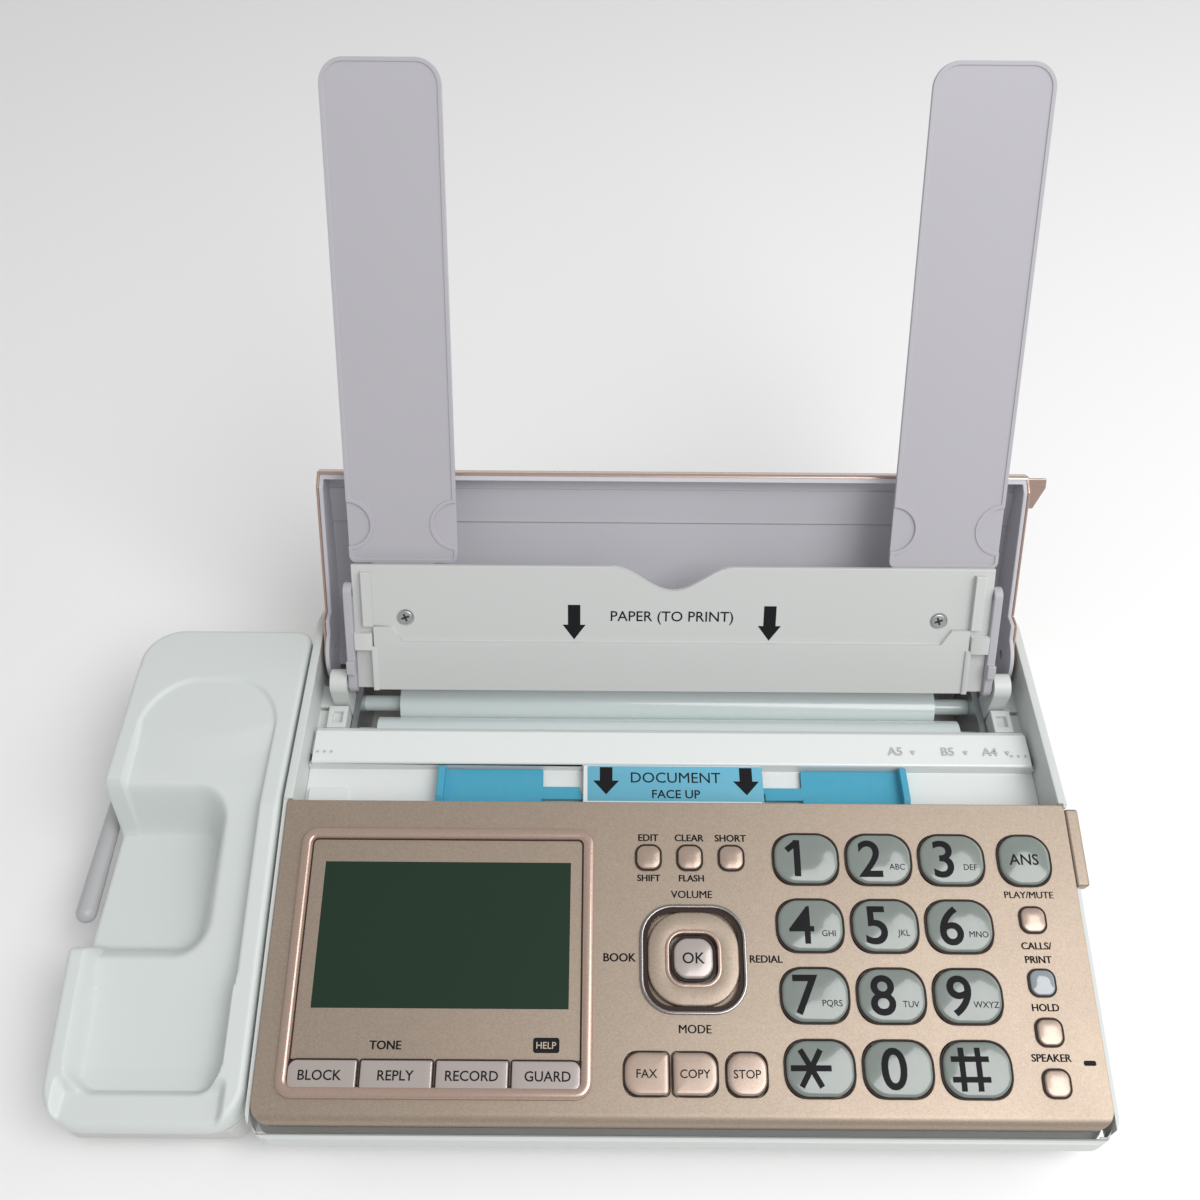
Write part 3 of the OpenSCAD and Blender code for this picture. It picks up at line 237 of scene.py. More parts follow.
CASE = plastic("case_white", (0.645, 0.67, 0.655), 0.42, tone=0.02)
CRADLE = plastic("cradle_white", (0.66, 0.70, 0.685), 0.46, tone=0.02)
BASE = plastic("base_white", (0.60, 0.60, 0.58), 0.5, tone=0.03)
TRAY = plastic("tray_white", (0.60, 0.61, 0.60), 0.42, tone=0.02)
ANTENNA = plastic("antenna_grey", (0.44, 0.445, 0.455), 0.35, tone=0.02)
DECK = plastic("deck_white", (0.78, 0.81, 0.80), 0.24, tone=0.015, coat=0.4, coat_roughness=0.12)
LID = plastic("lid_lavender", (0.56, 0.55, 0.59), 0.5, tone=0.02)
LAVENDER = plastic("lavender_grey", (0.46, 0.45, 0.485), 0.5, tone=0.02)
CHAMPAGNE = plastic("champagne_lacquer", (0.365, 0.292, 0.230), 0.42, tone=0.02, metallic=0.62, sparkle=0.2,
                    bump=0.05, coat=0.08, coat_roughness=0.4)
CHAMPAGNE_KEY = plastic("champagne_key", (0.42, 0.32, 0.26), 0.28, tone=0.02, metallic=0.5, sparkle=0.1,
                        bump=0.0, coat=0.3, coat_roughness=0.15)
CHAMPAGNE_RIM = plastic("champagne_gloss", (0.50, 0.36, 0.295), 0.24, tone=0.01, metallic=0.65, sparkle=0.12,
                        bump=0.02, coat=0.4, coat_roughness=0.08)
CHROME = plastic("chrome_trim", (0.33, 0.31, 0.30), 0.2, tone=0.01, metallic=1.0, bump=0.0)
SMOKE = plastic("smoke_key", (0.20, 0.23, 0.212), 0.18, tone=0.04, bump=0.0, coat=0.6, coat_roughness=0.06)
# Dark brown, painted shade for the gaps round the keys, inside the navigation key's rim and at the display's
# step
PAINTED_GAP_SHADE = plastic("gap_shade_paint", (0.035, 0.020, 0.016), 0.5, tone=0.03, dust=0.0, bump=0.0, specular=0.2)
LAMP = plastic("lamp_key", (0.26, 0.29, 0.32), 0.12, tone=0.04, bump=0.0, coat=1.0, coat_roughness=0.04)
SOFT_KEY = plastic("silver_pink_key", (0.44, 0.385, 0.36), 0.26, tone=0.02, metallic=0.25, bump=0.0, coat=0.6,
                   coat_roughness=0.06)
TEAL = plastic("teal_guide", (0.07, 0.37, 0.53), 0.4, tone=0.02, specular=0.3)
LABEL = plastic("pale_blue_label", (0.15, 0.45, 0.60), 0.4, tone=0.015, dust=0.0, bump=0.01, specular=0.3)
INK = plastic("black_print", (0.010, 0.010, 0.012), 0.6, tone=0.02, dust=0.0, bump=0.0, specular=0.15)
PALE_PRINT = plastic("pale_print", (0.52, 0.42, 0.34), 0.5, tone=0.02, dust=0.0, bump=0.0)
MOULDED_MARK = plastic("moulded_mark", (0.50, 0.53, 0.52), 0.42, tone=0.02)
DARK = plastic("black_plastic", (0.02, 0.021, 0.024), 0.5)
DISPLAY = plastic("display_green", (0.016, 0.035, 0.021), 0.4, tone=0.05, dust=0.0, bump=0.0, specular=0.15)
STEEL = plastic("plated_steel", (0.52, 0.53, 0.54), 0.34, metallic=1.0, tone=0.04, grain=700.0)
RUBBER = plastic("rubber", (0.025, 0.026, 0.028), 0.75, bump=0.1, specular=0.3)
FILM = plastic("film_grey", (0.72, 0.80, 0.79), 0.22, tone=0.02, bump=0.0, coat=0.6)
BOARD = plastic("board_green", (0.02, 0.12, 0.05), 0.4, tone=0.1)


# ---------------------------------------------------------------- making pieces

# A surface is shaded smooth over bends of fewer degrees than this
SMOOTH_BEND = 32
# On a CAD node's copy: how near two points are when they become one, and the bends that count as flat and sharp
WELD = 2e-6
FLAT_BEND = math.radians(0.6)
SHARP_BEND = math.radians(30)


def set_material(obj, material):
    """Gives an object one material in place of what it had."""
    obj.data.materials.clear()
    obj.data.materials.append(material)


def smooth(mesh, bend):
    """Shades a mesh smooth, but for edges that bend by more than the given degrees."""
    for face in mesh.polygons:
        face.use_smooth = True
    mesh.set_sharp_from_angle(angle=math.radians(bend))


def keep(bm, name, body, material, place=None, bend=SMOOTH_BEND, merge=1e-6):
    """Turns a bmesh into a finished piece that rides on a body."""
    if place is not None:
        bm.transform(place)
    if merge:
        bmesh.ops.remove_doubles(bm, verts=bm.verts, dist=merge)
    bmesh.ops.recalc_face_normals(bm, faces=bm.faces)
    mesh = bpy.data.meshes.new(name)
    bm.to_mesh(mesh)
    bm.free()
    smooth(mesh, bend)
    obj = bpy.data.objects.new(name, mesh)
    bpy.context.scene.collection.objects.link(obj)
    set_material(obj, material)
    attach(obj, body)
    return obj


def body_of_node(node):
    """The body that a CAD node belongs to."""
    for body, members in frame["record"]["behaviour"]["bodies"].items():
        if node in members:
            return body


def slot_of_node(node):
    """The material slot that the record gives a CAD node."""
    for part in frame["record"]["subparts"]:
        if part["node"] == node:
            return part["material_slot"]


def calm_normals(obj):
    """Lets the large flat faces set the shading, so that rounded edges don't tint them."""
    modifier = obj.modifiers.new("calm_normals", "WEIGHTED_NORMAL")
    modifier.mode = "FACE_AREA"
    modifier.weight = 50
    modifier.keep_sharp = True


def softened(node, material, width, shortest=0.0, where=None):
    """A copy of a CAD node with its sharp edges rounded, which stands for the node."""
    bm = bmesh.new()
    bm.from_mesh(nodes[node].data)
    bmesh.ops.remove_doubles(bm, verts=bm.verts, dist=WELD)
    bmesh.ops.dissolve_limit(bm, angle_limit=FLAT_BEND, verts=bm.verts, edges=bm.edges)
    bm.normal_update()
    sharp = [e for e in bm.edges if len(e.link_faces) == 2
             and e.calc_face_angle(0) > SHARP_BEND and e.calc_length() > shortest * MM
             and (where is None or all(where(v.co) for v in e.verts))]
    bmesh.ops.bevel(bm, geom=sharp, offset=width * MM, offset_type="OFFSET", affect="EDGES",
                    segments=3 if width > 0.5 else 2, profile=0.5, material=-1, clamp_overlap=False)
    made = keep(bm, node + "_moulding", body_of_node(node), material, merge=0)
    calm_normals(made)
    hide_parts(node)


def corner_plate(width, length, radius, segments=8, right_radius=None):
    """A flat face with round corners, about the origin. The right corners may have their own radius."""
    if right_radius is None:
        right_radius = radius
    bm = bmesh.new()
    bmesh.ops.create_grid(bm, x_segments=1, y_segments=1, size=0.5)
    bmesh.ops.scale(bm, vec=(width, length, 1), verts=bm.verts)
    left = [v for v in bm.verts if v.co.x < 0]
    right = [v for v in bm.verts if v.co.x > 0]
    for corners, corner_radius in ((left, radius), (right, right_radius)):
        if corner_radius:
            bmesh.ops.bevel(bm, geom=corners, offset=corner_radius, offset_type="OFFSET", affect="VERTICES",
                            segments=segments, profile=0.5, material=-1)
    return bm


def pull(bm, faces, height):
    """Extrudes faces along Z and returns the new faces."""
    grown = bmesh.ops.extrude_face_region(bm, geom=faces)["geom"]
    verts = [g for g in grown if isinstance(g, bmesh.types.BMVert)]
    bmesh.ops.translate(bm, vec=(0, 0, height), verts=verts)
    return [g for g in grown if isinstance(g, bmesh.types.BMFace)]


def edges_of(faces):
    """Each edge of some faces, once."""
    return list(dict.fromkeys(e for f in faces for e in f.edges))


def round_edges(bm, edges, radius, segments=3):
    """Rounds the given edges."""
    bmesh.ops.bevel(bm, geom=edges, offset=radius, offset_type="OFFSET", affect="EDGES", segments=segments,
                    profile=0.5, material=-1)


def highest(bm):
    """The highest face that looks up, and the largest of them where some are level."""
    bm.normal_update()
    upward = (f for f in bm.faces if f.normal.z > 0.9)
    return max(upward, key=lambda f: (f.calc_center_median().z, f.calc_area()))


def crown(bm, height):
    """Domes the highest face in shrinking steps that follow a parabola."""
    steps, reach = 5, 0.78
    top = highest(bm)
    middle = top.calc_center_median()
    for i in range(steps):
        lift = height * (((steps - i) / steps) ** 2 - ((steps - i - 1) / steps) ** 2)
        below = top
        grown = bmesh.ops.extrude_face_region(bm, geom=[below])["geom"]
        bmesh.ops.delete(bm, geom=[below], context="FACES_ONLY")
        top = next(g for g in grown if isinstance(g, bmesh.types.BMFace))
        factor = (1 - reach * (i + 1) / steps) / (1 - reach * i / steps)
        for vert in top.verts:
            vert.co.x = middle.x + (vert.co.x - middle.x) * factor
            vert.co.y = middle.y + (vert.co.y - middle.y) * factor
            vert.co.z += lift


def bulge_sides(bm, width, length, amount):
    """Draws the corners of an outline in, so that its sides stand out in a slow curve."""
    for vert in bm.verts:
        x, y = vert.co.x, vert.co.y
        vert.co.x = x * (1 - amount * (2 * y / length) ** 2)
        vert.co.y = y * (1 - amount * (2 * x / width) ** 2)


def add_copy(bm, other, place):
    """Adds one bmesh to another in a given place."""
    mesh = bpy.data.meshes.new("part")
    other.transform(place)
    other.to_mesh(mesh)
    other.free()
    bm.from_mesh(mesh)
    bpy.data.meshes.remove(mesh)


def at(x, y, z=0.0):
    """A move to a place."""
    return Matrix.Translation((x, y, z))


def turned(degrees):
    """A turn about Z."""
    return Matrix.Rotation(math.radians(degrees), 4, "Z")


def block(width, length, height, radius=0.0, edge=0.0, segments=2):
    """A plate from Z = 0 upwards with round corners and a rounded top edge."""
    bm = corner_plate(width, length, radius, 6)
    top = pull(bm, bm.faces[:], height)
    if edge:
        round_edges(bm, edges_of(top), edge, segments)
    return bm


def band(width, length, radius, thickness, height, edge=0.0, right_radius=None):
    """A closed frame with round corners from Z = 0 upwards."""
    bm = corner_plate(width, length, radius, right_radius=right_radius)
    inner = bm.faces[:]
    bmesh.ops.inset_region(bm, faces=inner, thickness=thickness, use_even_offset=True, use_boundary=True)
    bmesh.ops.delete(bm, geom=inner, context="FACES_ONLY")
    top = pull(bm, bm.faces[:], height)
    if edge:
        round_edges(bm, [e for f in top for e in f.edges if sum(g in top for g in e.link_faces) == 1], edge)
    return bm


def prism(corners, height):
    """A closed plate whose outline goes through the given points."""
    bm = bmesh.new()
    bm.faces.new([bm.verts.new((x, y, 0)) for x, y in corners])
    pull(bm, bm.faces[:], height)
    return bm


def letters(text, size, bold=0.0, depth=0.12, resolution=3):
    """Text as a closed mesh about the middle of its outline."""
    curve = bpy.data.curves.new("letters", "FONT")
    curve.body = text
    curve.size = size
    curve.offset = bold
    curve.extrude = depth / 2
    curve.resolution_u = resolution
    curve.align_x = "CENTER"
    obj = bpy.data.objects.new("letters", curve)
    bpy.context.scene.collection.objects.link(obj)
    bpy.context.view_layer.update()
    mesh = bpy.data.meshes.new_from_object(obj.evaluated_get(bpy.context.evaluated_depsgraph_get()))
    bm = bmesh.new()
    bm.from_mesh(mesh)
    bpy.data.objects.remove(obj)
    bpy.data.curves.remove(curve)
    bpy.data.meshes.remove(mesh)
    bmesh.ops.remove_doubles(bm, verts=bm.verts, dist=1e-4)
    xs = [v.co.x for v in bm.verts]
    ys = [v.co.y for v in bm.verts]
    middle = ((min(xs) + max(xs)) / 2, (min(ys) + max(ys)) / 2)
    bmesh.ops.translate(bm, vec=(-middle[0], -middle[1], 0), verts=bm.verts)
    return bm


# ------------------------------------------------------------------- CAD nodes

# Each node's finish and how far its edges are rounded
SOFTENED = {
    "base_pan": (BASE, 0.6), "document_deck": (DECK, 0.35), "operation_panel": (CHAMPAGNE, 0.3),
    "lid_skin": (CHAMPAGNE_RIM, 0.35), "lid_liner": (LID, 0.35), "tray_arms": (LAVENDER, 0.35),
    "left_support": (LAVENDER, 0.17), "right_support": (LAVENDER, 0.17),
    "left_guide": (TEAL, 0.3), "right_guide": (TEAL, 0.3), "release_lever": (CHAMPAGNE, 0.9),
    "cradle_base": (BASE, 0.6), "rear_jacks": (DARK, 0.3), "rubber_feet": (RUBBER, 0.5),
    "chassis": (STEEL, 0.2),
}
CARRIED = {
    "platen_roller": RUBBER, "thermal_head": STEEL, "film_supply_roll": FILM, "film_take_up_roll": FILM,
    "image_sensor": DARK, "document_roller": RUBBER, "main_board": BOARD, "antenna": ANTENNA,
    "panel_frame": DARK, "display_glass": DISPLAY, "key_board": BOARD, "display_frame": CHAMPAGNE,
}
# The case's edges stay sharp up to here, because its front corners are too thin to round
CASE_CORNERS_END = (25 + MACHINE_Y) * MM
TO_TRAY = ON_TRAY.inverted()


def behind_case_corners(point):
    """True behind the front corners of the case."""
    return point.y > CASE_CORNERS_END


def clear_of_step_end(point):
    """True away from the outer ends of the tray's stepped plate, whose edges stay sharp."""
    spot = TO_TRAY @ point
    return not (98 < abs(spot.x) < 108 and 12 < spot.y < 26)


for node, (finish, width) in SOFTENED.items():
    softened(node, finish, width)
softened("main_case", CASE, 0.4, shortest=1.5, where=behind_case_corners)
softened("paper_tray", TRAY, 0.35, shortest=3.0, where=clear_of_step_end)
for node, finish in CARRIED.items():
    set_material(nodes[node], finish)


# ------------------------------------------------------------ panel and case trims

CASE_HALF = 130.5
CASE_FRONT = -2.4
CASE_CORNER = 7.0
DISPLAY_MIDDLE = at(-74.6, 48.7)
DISPLAY_SIZE = (95.6, 82.6)
# From the outline of the display's rim to the step inside it, where a dark line of painted shade stands
STEP_INSET = 7.1
NAVIGATION_X, NAVIGATION_Y = 4.5, 48.9
NAVIGATION = at(NAVIGATION_X, NAVIGATION_Y)


def make_panel_trims():
    """The rounded rim round the display with a dark line of painted shade at the step inside it, and the
    navigation key's bright rim with painted gap shade inside it.
    """
    on_display, on_navigation = ON_PANEL @ DISPLAY_MIDDLE, ON_PANEL @ NAVIGATION
    rim = band(*DISPLAY_SIZE, radius=5.3, thickness=3.6, height=1.5, edge=1.2)
    keep(rim, "display_rim", "panel", CHAMPAGNE_RIM, place=on_display)
    # The shade at the step, painted as a thin dark band
    step = band(DISPLAY_SIZE[0] - STEP_INSET, DISPLAY_SIZE[1] - STEP_INSET, radius=1.8, thickness=0.45,
                height=0.08)
    keep(step, "display_step_shade", "panel", PAINTED_GAP_SHADE, place=on_display)
    rim = band(33.6, 33.6, radius=10.5, thickness=1.1, height=1.0, edge=0.35)
    made = keep(rim, "navigation_rim", "panel", CHROME, place=on_navigation)
    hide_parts("navigation_ring")
    # The gap inside the rim, painted as a dark ring of shade
    channel_shade = band(31.45, 31.45, radius=9.4, thickness=1.4, height=0.2)
    keep(channel_shade, "navigation_gap_shade", "panel", PAINTED_GAP_SHADE, place=on_navigation)


def make_navigation_key():
    """The four-way key: a rounded frame on its flange, with a low ring round the key in its middle."""
    width, hole, foot, rise, flange = 28.6, 15.2, 2.8, 1.1, 1.0
    body, slot = body_of_node("navigation_key"), slot_of_node("navigation_key")
    bm = band(width, width, radius=11.0, thickness=(width - hole) / 2, height=foot + rise, edge=0.6)
    bulge_sides(bm, width, width, 0.012)
    bmesh.ops.translate(bm, vec=(0, 0, -foot), verts=bm.verts)
    skirt = band(width + 2.0, width + 2.0, radius=9.6, thickness=6.0, height=flange)
    add_copy(bm, skirt, at(0, 0, -foot - flange))
    made = keep(bm, "navigation_cap", body, CHAMPAGNE, place=ON_PANEL @ NAVIGATION)
    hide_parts("navigation_key")
    ring = band(hole + 2.4, hole + 2.4, radius=5.8, thickness=1.15, height=0.5, edge=0.3)
    keep(ring, "navigation_ring_inner", body, CHAMPAGNE_RIM, place=ON_PANEL @ NAVIGATION @ at(0, 0, rise))


def make_case_corners():
    """The lip of the case, carried round its two front corners, thin enough to clear the panel's swing."""
    inner, foot, belly, top = 6.3, 16.6, 19.0, 21.0
    outline = ((CASE_CORNER - 0.95, foot), (CASE_CORNER, belly), (CASE_CORNER - 0.5, top), (inner, top),
               (inner, foot))
    corner_place = at(CASE_HALF - CASE_CORNER, CASE_FRONT + CASE_CORNER)
    bm = bmesh.new()
    for side in (-1, 1):
        corner = bmesh.new()
        face = corner.faces.new([corner.verts.new((r, 0, z)) for r, z in outline])
        bmesh.ops.spin(corner, geom=[face] + face.edges[:] + face.verts[:], cent=(0, 0, 0), axis=(0, 0, 1),
                       angle=math.radians(-90), steps=10, use_duplicate=False)
        bmesh.ops.recalc_face_normals(corner, faces=corner.faces)
        add_copy(bm, corner, Matrix.Diagonal((side, 1, 1, 1)) @ corner_place)
    keep(bm, "case_corners", "machine", CASE, place=MACHINE)


make_panel_trims()
make_navigation_key()
make_case_corners()


# --------------------------------------------------------------- handset cradle

CRADLE_MID = -161.95
CRADLE_HALF = 30.25
CRADLE_FRONT = -0.6
CRADLE_BACK = 168.0
# Height of the joint between the cradle's top and its base
PARTING = 14.0
FRONT_CORNER = 12
REAR_CORNER = 14
# The rear corner beside the machine is nearly square
SQUARE_CORNER = 5.0
# Heights along the cradle, as (y, z) points: the ledge at its front, and the bed under the handset
LIP = ((-1, 22.6), (1.5, 24.2), (20, 24.9))
TROUGH = ((-1, 20.8), (18, 20.6), (26, 22.2), (40, 26.4), (52, 31.2), (60, 34.0),
          (104, 45.0), (112, 45.8), (122, 47.4), (150, 47.4))
# The hollows in plan, about the cradle's middle: left, right, front, back, corner radius
EAR_HOLLOW = (-24.6, 24.2, 30, 146.5, 17)
FRONT_LEDGE = (-27.2, 25.4, -14, 70, 9)
MOUTH_HOLLOW = (-25.2, 23.4, 8.6, 70, 9)
FINGER_WELL = (-80, 12.5, 48.5, 105, 13)
WELL_FLOOR = 22.0


def ease(value):
    """0 below 0, 1 above 1, and a soft S between."""
    value = min(max(value, 0.0), 1.0)
    return value * value * (3 - 2 * value)


def inside(u, y, left, right, front, back, radius):
    """Distance inwards from the edge of a rectangle with round corners."""
    dx = abs(u - (left + right) / 2) - (right - left) / 2 + radius
    dy = abs(y - (front + back) / 2) - (back - front) / 2 + radius
    return radius - math.hypot(max(dx, 0), max(dy, 0)) - min(max(dx, dy), 0)


def blend_points(table, y):
    """Height on a smooth line through (y, z) points."""
    for (y0, z0), (y1, z1) in zip(table, table[1:]):
        if y <= y1:
            part = (y - y0) / (y1 - y0)
            return z0 + (z1 - z0) * min(max(part, 0.0), 1.0)
    return table[-1][1]


def cradle_height(u, y):
    """Height of the cradle's top over its plan. The terms in u * u bow the hollows' ends."""
    plain = min(PANEL_FRONT_H + max(y, 0) * math.tan(SLOPE) + 0.3, DECK_H)
    bow = 0.012 * u * u * ease((y - 106) / 12)
    trough = sum(blend_points(TROUGH, y + k - bow) for k in (-1, -0.5, 0, 0.5, 1)) / 5
    ear = ease(inside(u, y + 0.006 * u * u, *EAR_HOLLOW) / 1.5)
    front = ease(inside(u, y, *FRONT_LEDGE) / 3.0) * ease((13.5 - y) / 4.5)
    ledge = plain + (min(blend_points(LIP, y), plain) - plain) * front
    mouth = ease(inside(u, y, *MOUTH_HOLLOW) / 3.0)
    z = ledge + (min(trough, ledge) - ledge) * max(ear if y > 30 else 0, mouth * ease((66 - y) / 12))
    well = ease(inside(u, y, *FINGER_WELL) / 8.5)
    z += (min(WELL_FLOOR, z) - z) * well
    crease = max(0.0, 1 - abs(y - 53) / 2.2) * ease((2 - u) / 6)
    return z + 1.1 * crease * well


def sculpt_cradle():
    """The cradle's top as one soft moulding with its hollows for the handset and for the fingers."""
    bm = bmesh.new()
    bmesh.ops.create_grid(bm, x_segments=96, y_segments=250, size=1.0)
    length = CRADLE_BACK - CRADLE_FRONT
    for vert in bm.verts:
        # Rows and columns crowd towards the edges, where the surface turns over
        s, t = vert.co.x + 0.2 * math.sin(math.pi * vert.co.x), (vert.co.y + 1) / 2
        y = CRADLE_FRONT + length * (t - 0.032 * math.sin(2 * math.pi * t))
        rear_corner = REAR_CORNER if s < 0 else SQUARE_CORNER
        half = CRADLE_HALF
        for gap, radius in ((y - CRADLE_FRONT, FRONT_CORNER), (CRADLE_BACK - y, rear_corner)):
            if gap < radius:
                half = CRADLE_HALF - radius + math.sqrt(max(radius ** 2 - (radius - gap) ** 2, 0))
        u = s * half
        corner = FRONT_CORNER if y < 80 else rear_corner
        edge = inside(u, y, -CRADLE_HALF, CRADLE_HALF, CRADLE_FRONT, CRADLE_BACK, corner)
        rounding = 1.7 if y < 150 else 2.2
        fall = rounding - math.sqrt(max(rounding ** 2 - max(rounding - edge, 0) ** 2, 0))
        vert.co = (CRADLE_MID + u, y, max(cradle_height(u, y) - fall, PARTING + 3))
    rim = [e for e in bm.edges if e.is_boundary]
    # The wall below the rim goes down to the joint, and its foot is tucked in at the front
    for height, at_foot in ((PARTING + 5, False), (PARTING + 0.2, True)):
        grown = bmesh.ops.extrude_edge_only(bm, edges=rim)["geom"]
        rim = [g for g in grown if isinstance(g, bmesh.types.BMEdge)]
        for vert in {v for e in rim for v in e.verts}:
            vert.co.z = height if at_foot else min(vert.co.z, height)
            if at_foot:
                vert.co.y += 1.4 * ease((12 - vert.co.y) / 8)
    bmesh.ops.holes_fill(bm, edges=rim, sides=0)
    made = keep(bm, "cradle_top_moulding", "machine", CRADLE, place=MACHINE,
                bend=40)
    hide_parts("cradle_top")


sculpt_cradle()


# ------------------------------------------------------------------------ keys

# Thickness of the flange under a cap
FLANGE = 1.0
# Each kind of cap: how far it stands up, its dome, its rounded edge, the depth of its foot below the panel, how
# far its flange reaches past it, how far its sides stand out, and the width of the dark ring of painted
# gap shade round it
DIAL_CAP = {"rise": 2.0, "dome": 0.5, "edge": 1.15, "foot": 2.8, "lips": (1.2, 1.2), "shade_collar": 0.45}
SMALL_CAP = {"rise": 1.3, "dome": 0.25, "edge": 0.6, "foot": 2.8, "lips": (1.2, 1.2), "bulge": 0.02,
             "shade_collar": 0.4}
COMMAND_CAP = {"rise": 1.4, "dome": 0.08, "edge": 0.8, "foot": 2.8, "lips": (0.45, 1.2), "bulge": 0.01,
               "shade_collar": 0.3}
SOFT_CAP = {"rise": 1.1, "dome": 0.05, "edge": 0.5, "foot": 1.9, "lips": (0.4, 0.4), "bulge": 0.0,
            "shade_collar": 0.3}
SELECT_CAP = {"rise": 1.8, "dome": 0.3, "edge": 0.9, "foot": 4.7, "lips": (2.4, 2.4), "bulge": 0.03,
              "shade_collar": 0.6}
# Room between a cap and its ring of painted gap shade, over both sides, then that ring's height and how deep
# its foot lies
COLLAR_ROOM, COLLAR_HEIGHT, COLLAR_DEPTH = 0.3, 1.75, 1.2

DIAL = (("1", ""), ("2", "ABC"), ("3", "DEF"), ("4", "GHI"), ("5", "JKL"), ("6", "MNO"),
        ("7", "PQRS"), ("8", "TUV"), ("9", "WXYZ"), ("*", ""), ("0", ""), ("#", ""))
DIAL_NAMES = {"*": "star", "#": "hash"}
DIAL_X, DIAL_Y = 41.9, 80.6
DIAL_PITCH_X, DIAL_PITCH_Y = 23.7, 21.25
RIGHT_COLUMN = 113
TOP_ROW = 80.8
SMALL_KEYS = (("playback_key", RIGHT_COLUMN, 61.6), ("call_log_key", RIGHT_COLUMN, 42.3),
              ("hold_key", RIGHT_COLUMN, 27.7), ("speaker_key", RIGHT_COLUMN, 13.1),
              ("edit_key", -9.2, TOP_ROW), ("clear_key", 4.2, TOP_ROW), ("shortcut_key", 17.7, TOP_ROW))
# Name, word, middle, width, left and right corner radius
COMMAND_KEYS = (("fax_key", "FAX", -10.5, 13.4, 4.6, 1.3), ("copy_key", "COPY", 4.1, 13.4, 1.3, 4.6),
                ("stop_key", "STOP", 19.75, 12.1, 4.6, 4.6))
COMMAND_ROW = 15.1
# Each soft key's word, and which of its ends is an end of the row: 1 the left, -1 the right
SOFT_KEYS = (("BLOCK", 1), ("REPLY", 0), ("RECORD", 0), ("GUARD", -1))
SOFT_ROW, SOFT_FIRST, SOFT_PITCH = 14.1, -108.875, 22.85
# Corner radius of a soft key at an end within the row, and at an end of the row
INNER_END, OUTER_END = 0.6, 2.6
# Thickness of a figure, which is half sunk into the cap
FIGURE = 0.14


def press_key(node, x, y, width, length, radius, material, rise, dome, edge, foot, lips, bulge, shade_collar,
              right_radius=None):
    """A moulded key cap on its flange, which stands for a CAD key, in a dark ring of painted gap shade."""
    body, slot = body_of_node(node), slot_of_node(node)
    bm = block(width + 2 * lips[0], length + 2 * lips[1], FLANGE, radius + min(lips))
    bmesh.ops.translate(bm, vec=(0, 0, -foot - FLANGE), verts=bm.verts)
    cap = corner_plate(width, length, radius, right_radius=right_radius)
    bulge_sides(cap, width, length, bulge)
    top = pull(cap, cap.faces[:], foot + 0.1 + rise - dome)
    round_edges(cap, edges_of(top), edge, 5)
    crown(cap, dome)
    add_copy(bm, cap, at(0, 0, -foot - 0.1))
    piece = keep(bm, node + "_cap", body, material, place=ON_PANEL @ at(x, y))
    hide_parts(node)
    # A dark ring of painted shade stands in the gap round the cap
    grow = COLLAR_ROOM / 2 + shade_collar
    ring = band(width + COLLAR_ROOM + 2 * shade_collar, length + COLLAR_ROOM + 2 * shade_collar, radius + grow, shade_collar,
                COLLAR_HEIGHT, right_radius=None if right_radius is None else right_radius + grow)
    bulge_sides(ring, width, length, bulge * 0.6)
    keep(ring, node + "_collar", body, PAINTED_GAP_SHADE, place=ON_PANEL @ at(x, y, -COLLAR_DEPTH))


def lay_print(bm, name, node, place):
    """Lays flat marks on a key's domed cap, cut into strips so that they follow its surface."""
    strip, offset, above = 1.4, 0.013, 20
    surface = bmesh.new()
    surface.from_mesh(bpy.data.objects[node + "_cap"].data)
    surface.transform((ON_PANEL @ place).inverted())
    tree = BVHTree.FromBMesh(surface)
    surface.free()
    reach = int(max(max(abs(v.co.x), abs(v.co.y)) for v in bm.verts) / strip)
    for axis in (Vector((1, 0, 0)), Vector((0, 1, 0))):
        for i in range(-reach, reach + 1):
            bmesh.ops.bisect_plane(bm, geom=bm.verts[:] + bm.edges[:] + bm.faces[:], plane_no=axis,
                                   plane_co=axis * (i * strip + offset), dist=1e-5)
    for vert in bm.verts:
        point = tree.ray_cast(Vector((vert.co.x, vert.co.y, above)), Vector((0, 0, -1)))[0]
        vert.co.z += point.z if point else 0
    keep(bm, name, body_of_node(node), INK, place=ON_PANEL @ place, merge=0)


def dial_figure(digit, group):
    """A dial key's figure or sign with its group of letters, about the key's middle."""
    bm = bmesh.new()
    if digit == "*":
        for degrees in (0, 60, 120):
            add_copy(bm, block(12.2, 1.7, FIGURE), at(-2.9, 0, -FIGURE / 2) @ turned(degrees))
    elif digit == "#":
        for x, y, size in ((-4.7, 0, (1.7, 12.4)), (0.3, 0, (1.7, 12.4)), (-2.2, 2.9, (11.4, 1.6)),
                           (-2.2, -2.9, (11.4, 1.6))):
            add_copy(bm, block(*size, FIGURE), at(x, y, -FIGURE / 2))
    else:
        # A bolder 4 would close its counter
        bold = 0.1 if digit == "4" else 0.22
        add_copy(bm, letters(digit, 16.6, bold, FIGURE, resolution=6), at(-1.6 if digit == "0" else -3.0, 0))
    if digit == "1":
        add_copy(bm, block(4.4, 1.9, FIGURE), at(-4.6, 3.9, -FIGURE / 2) @ turned(38))
    if group:
        add_copy(bm, letters(group, 2.7, depth=FIGURE), at(5.5 if len(group) < 4 else 5.0, -2.6))
    return bm


def soft_key_x(i):
    """The middle of a soft key's place in its row."""
    return SOFT_FIRST + SOFT_PITCH * i


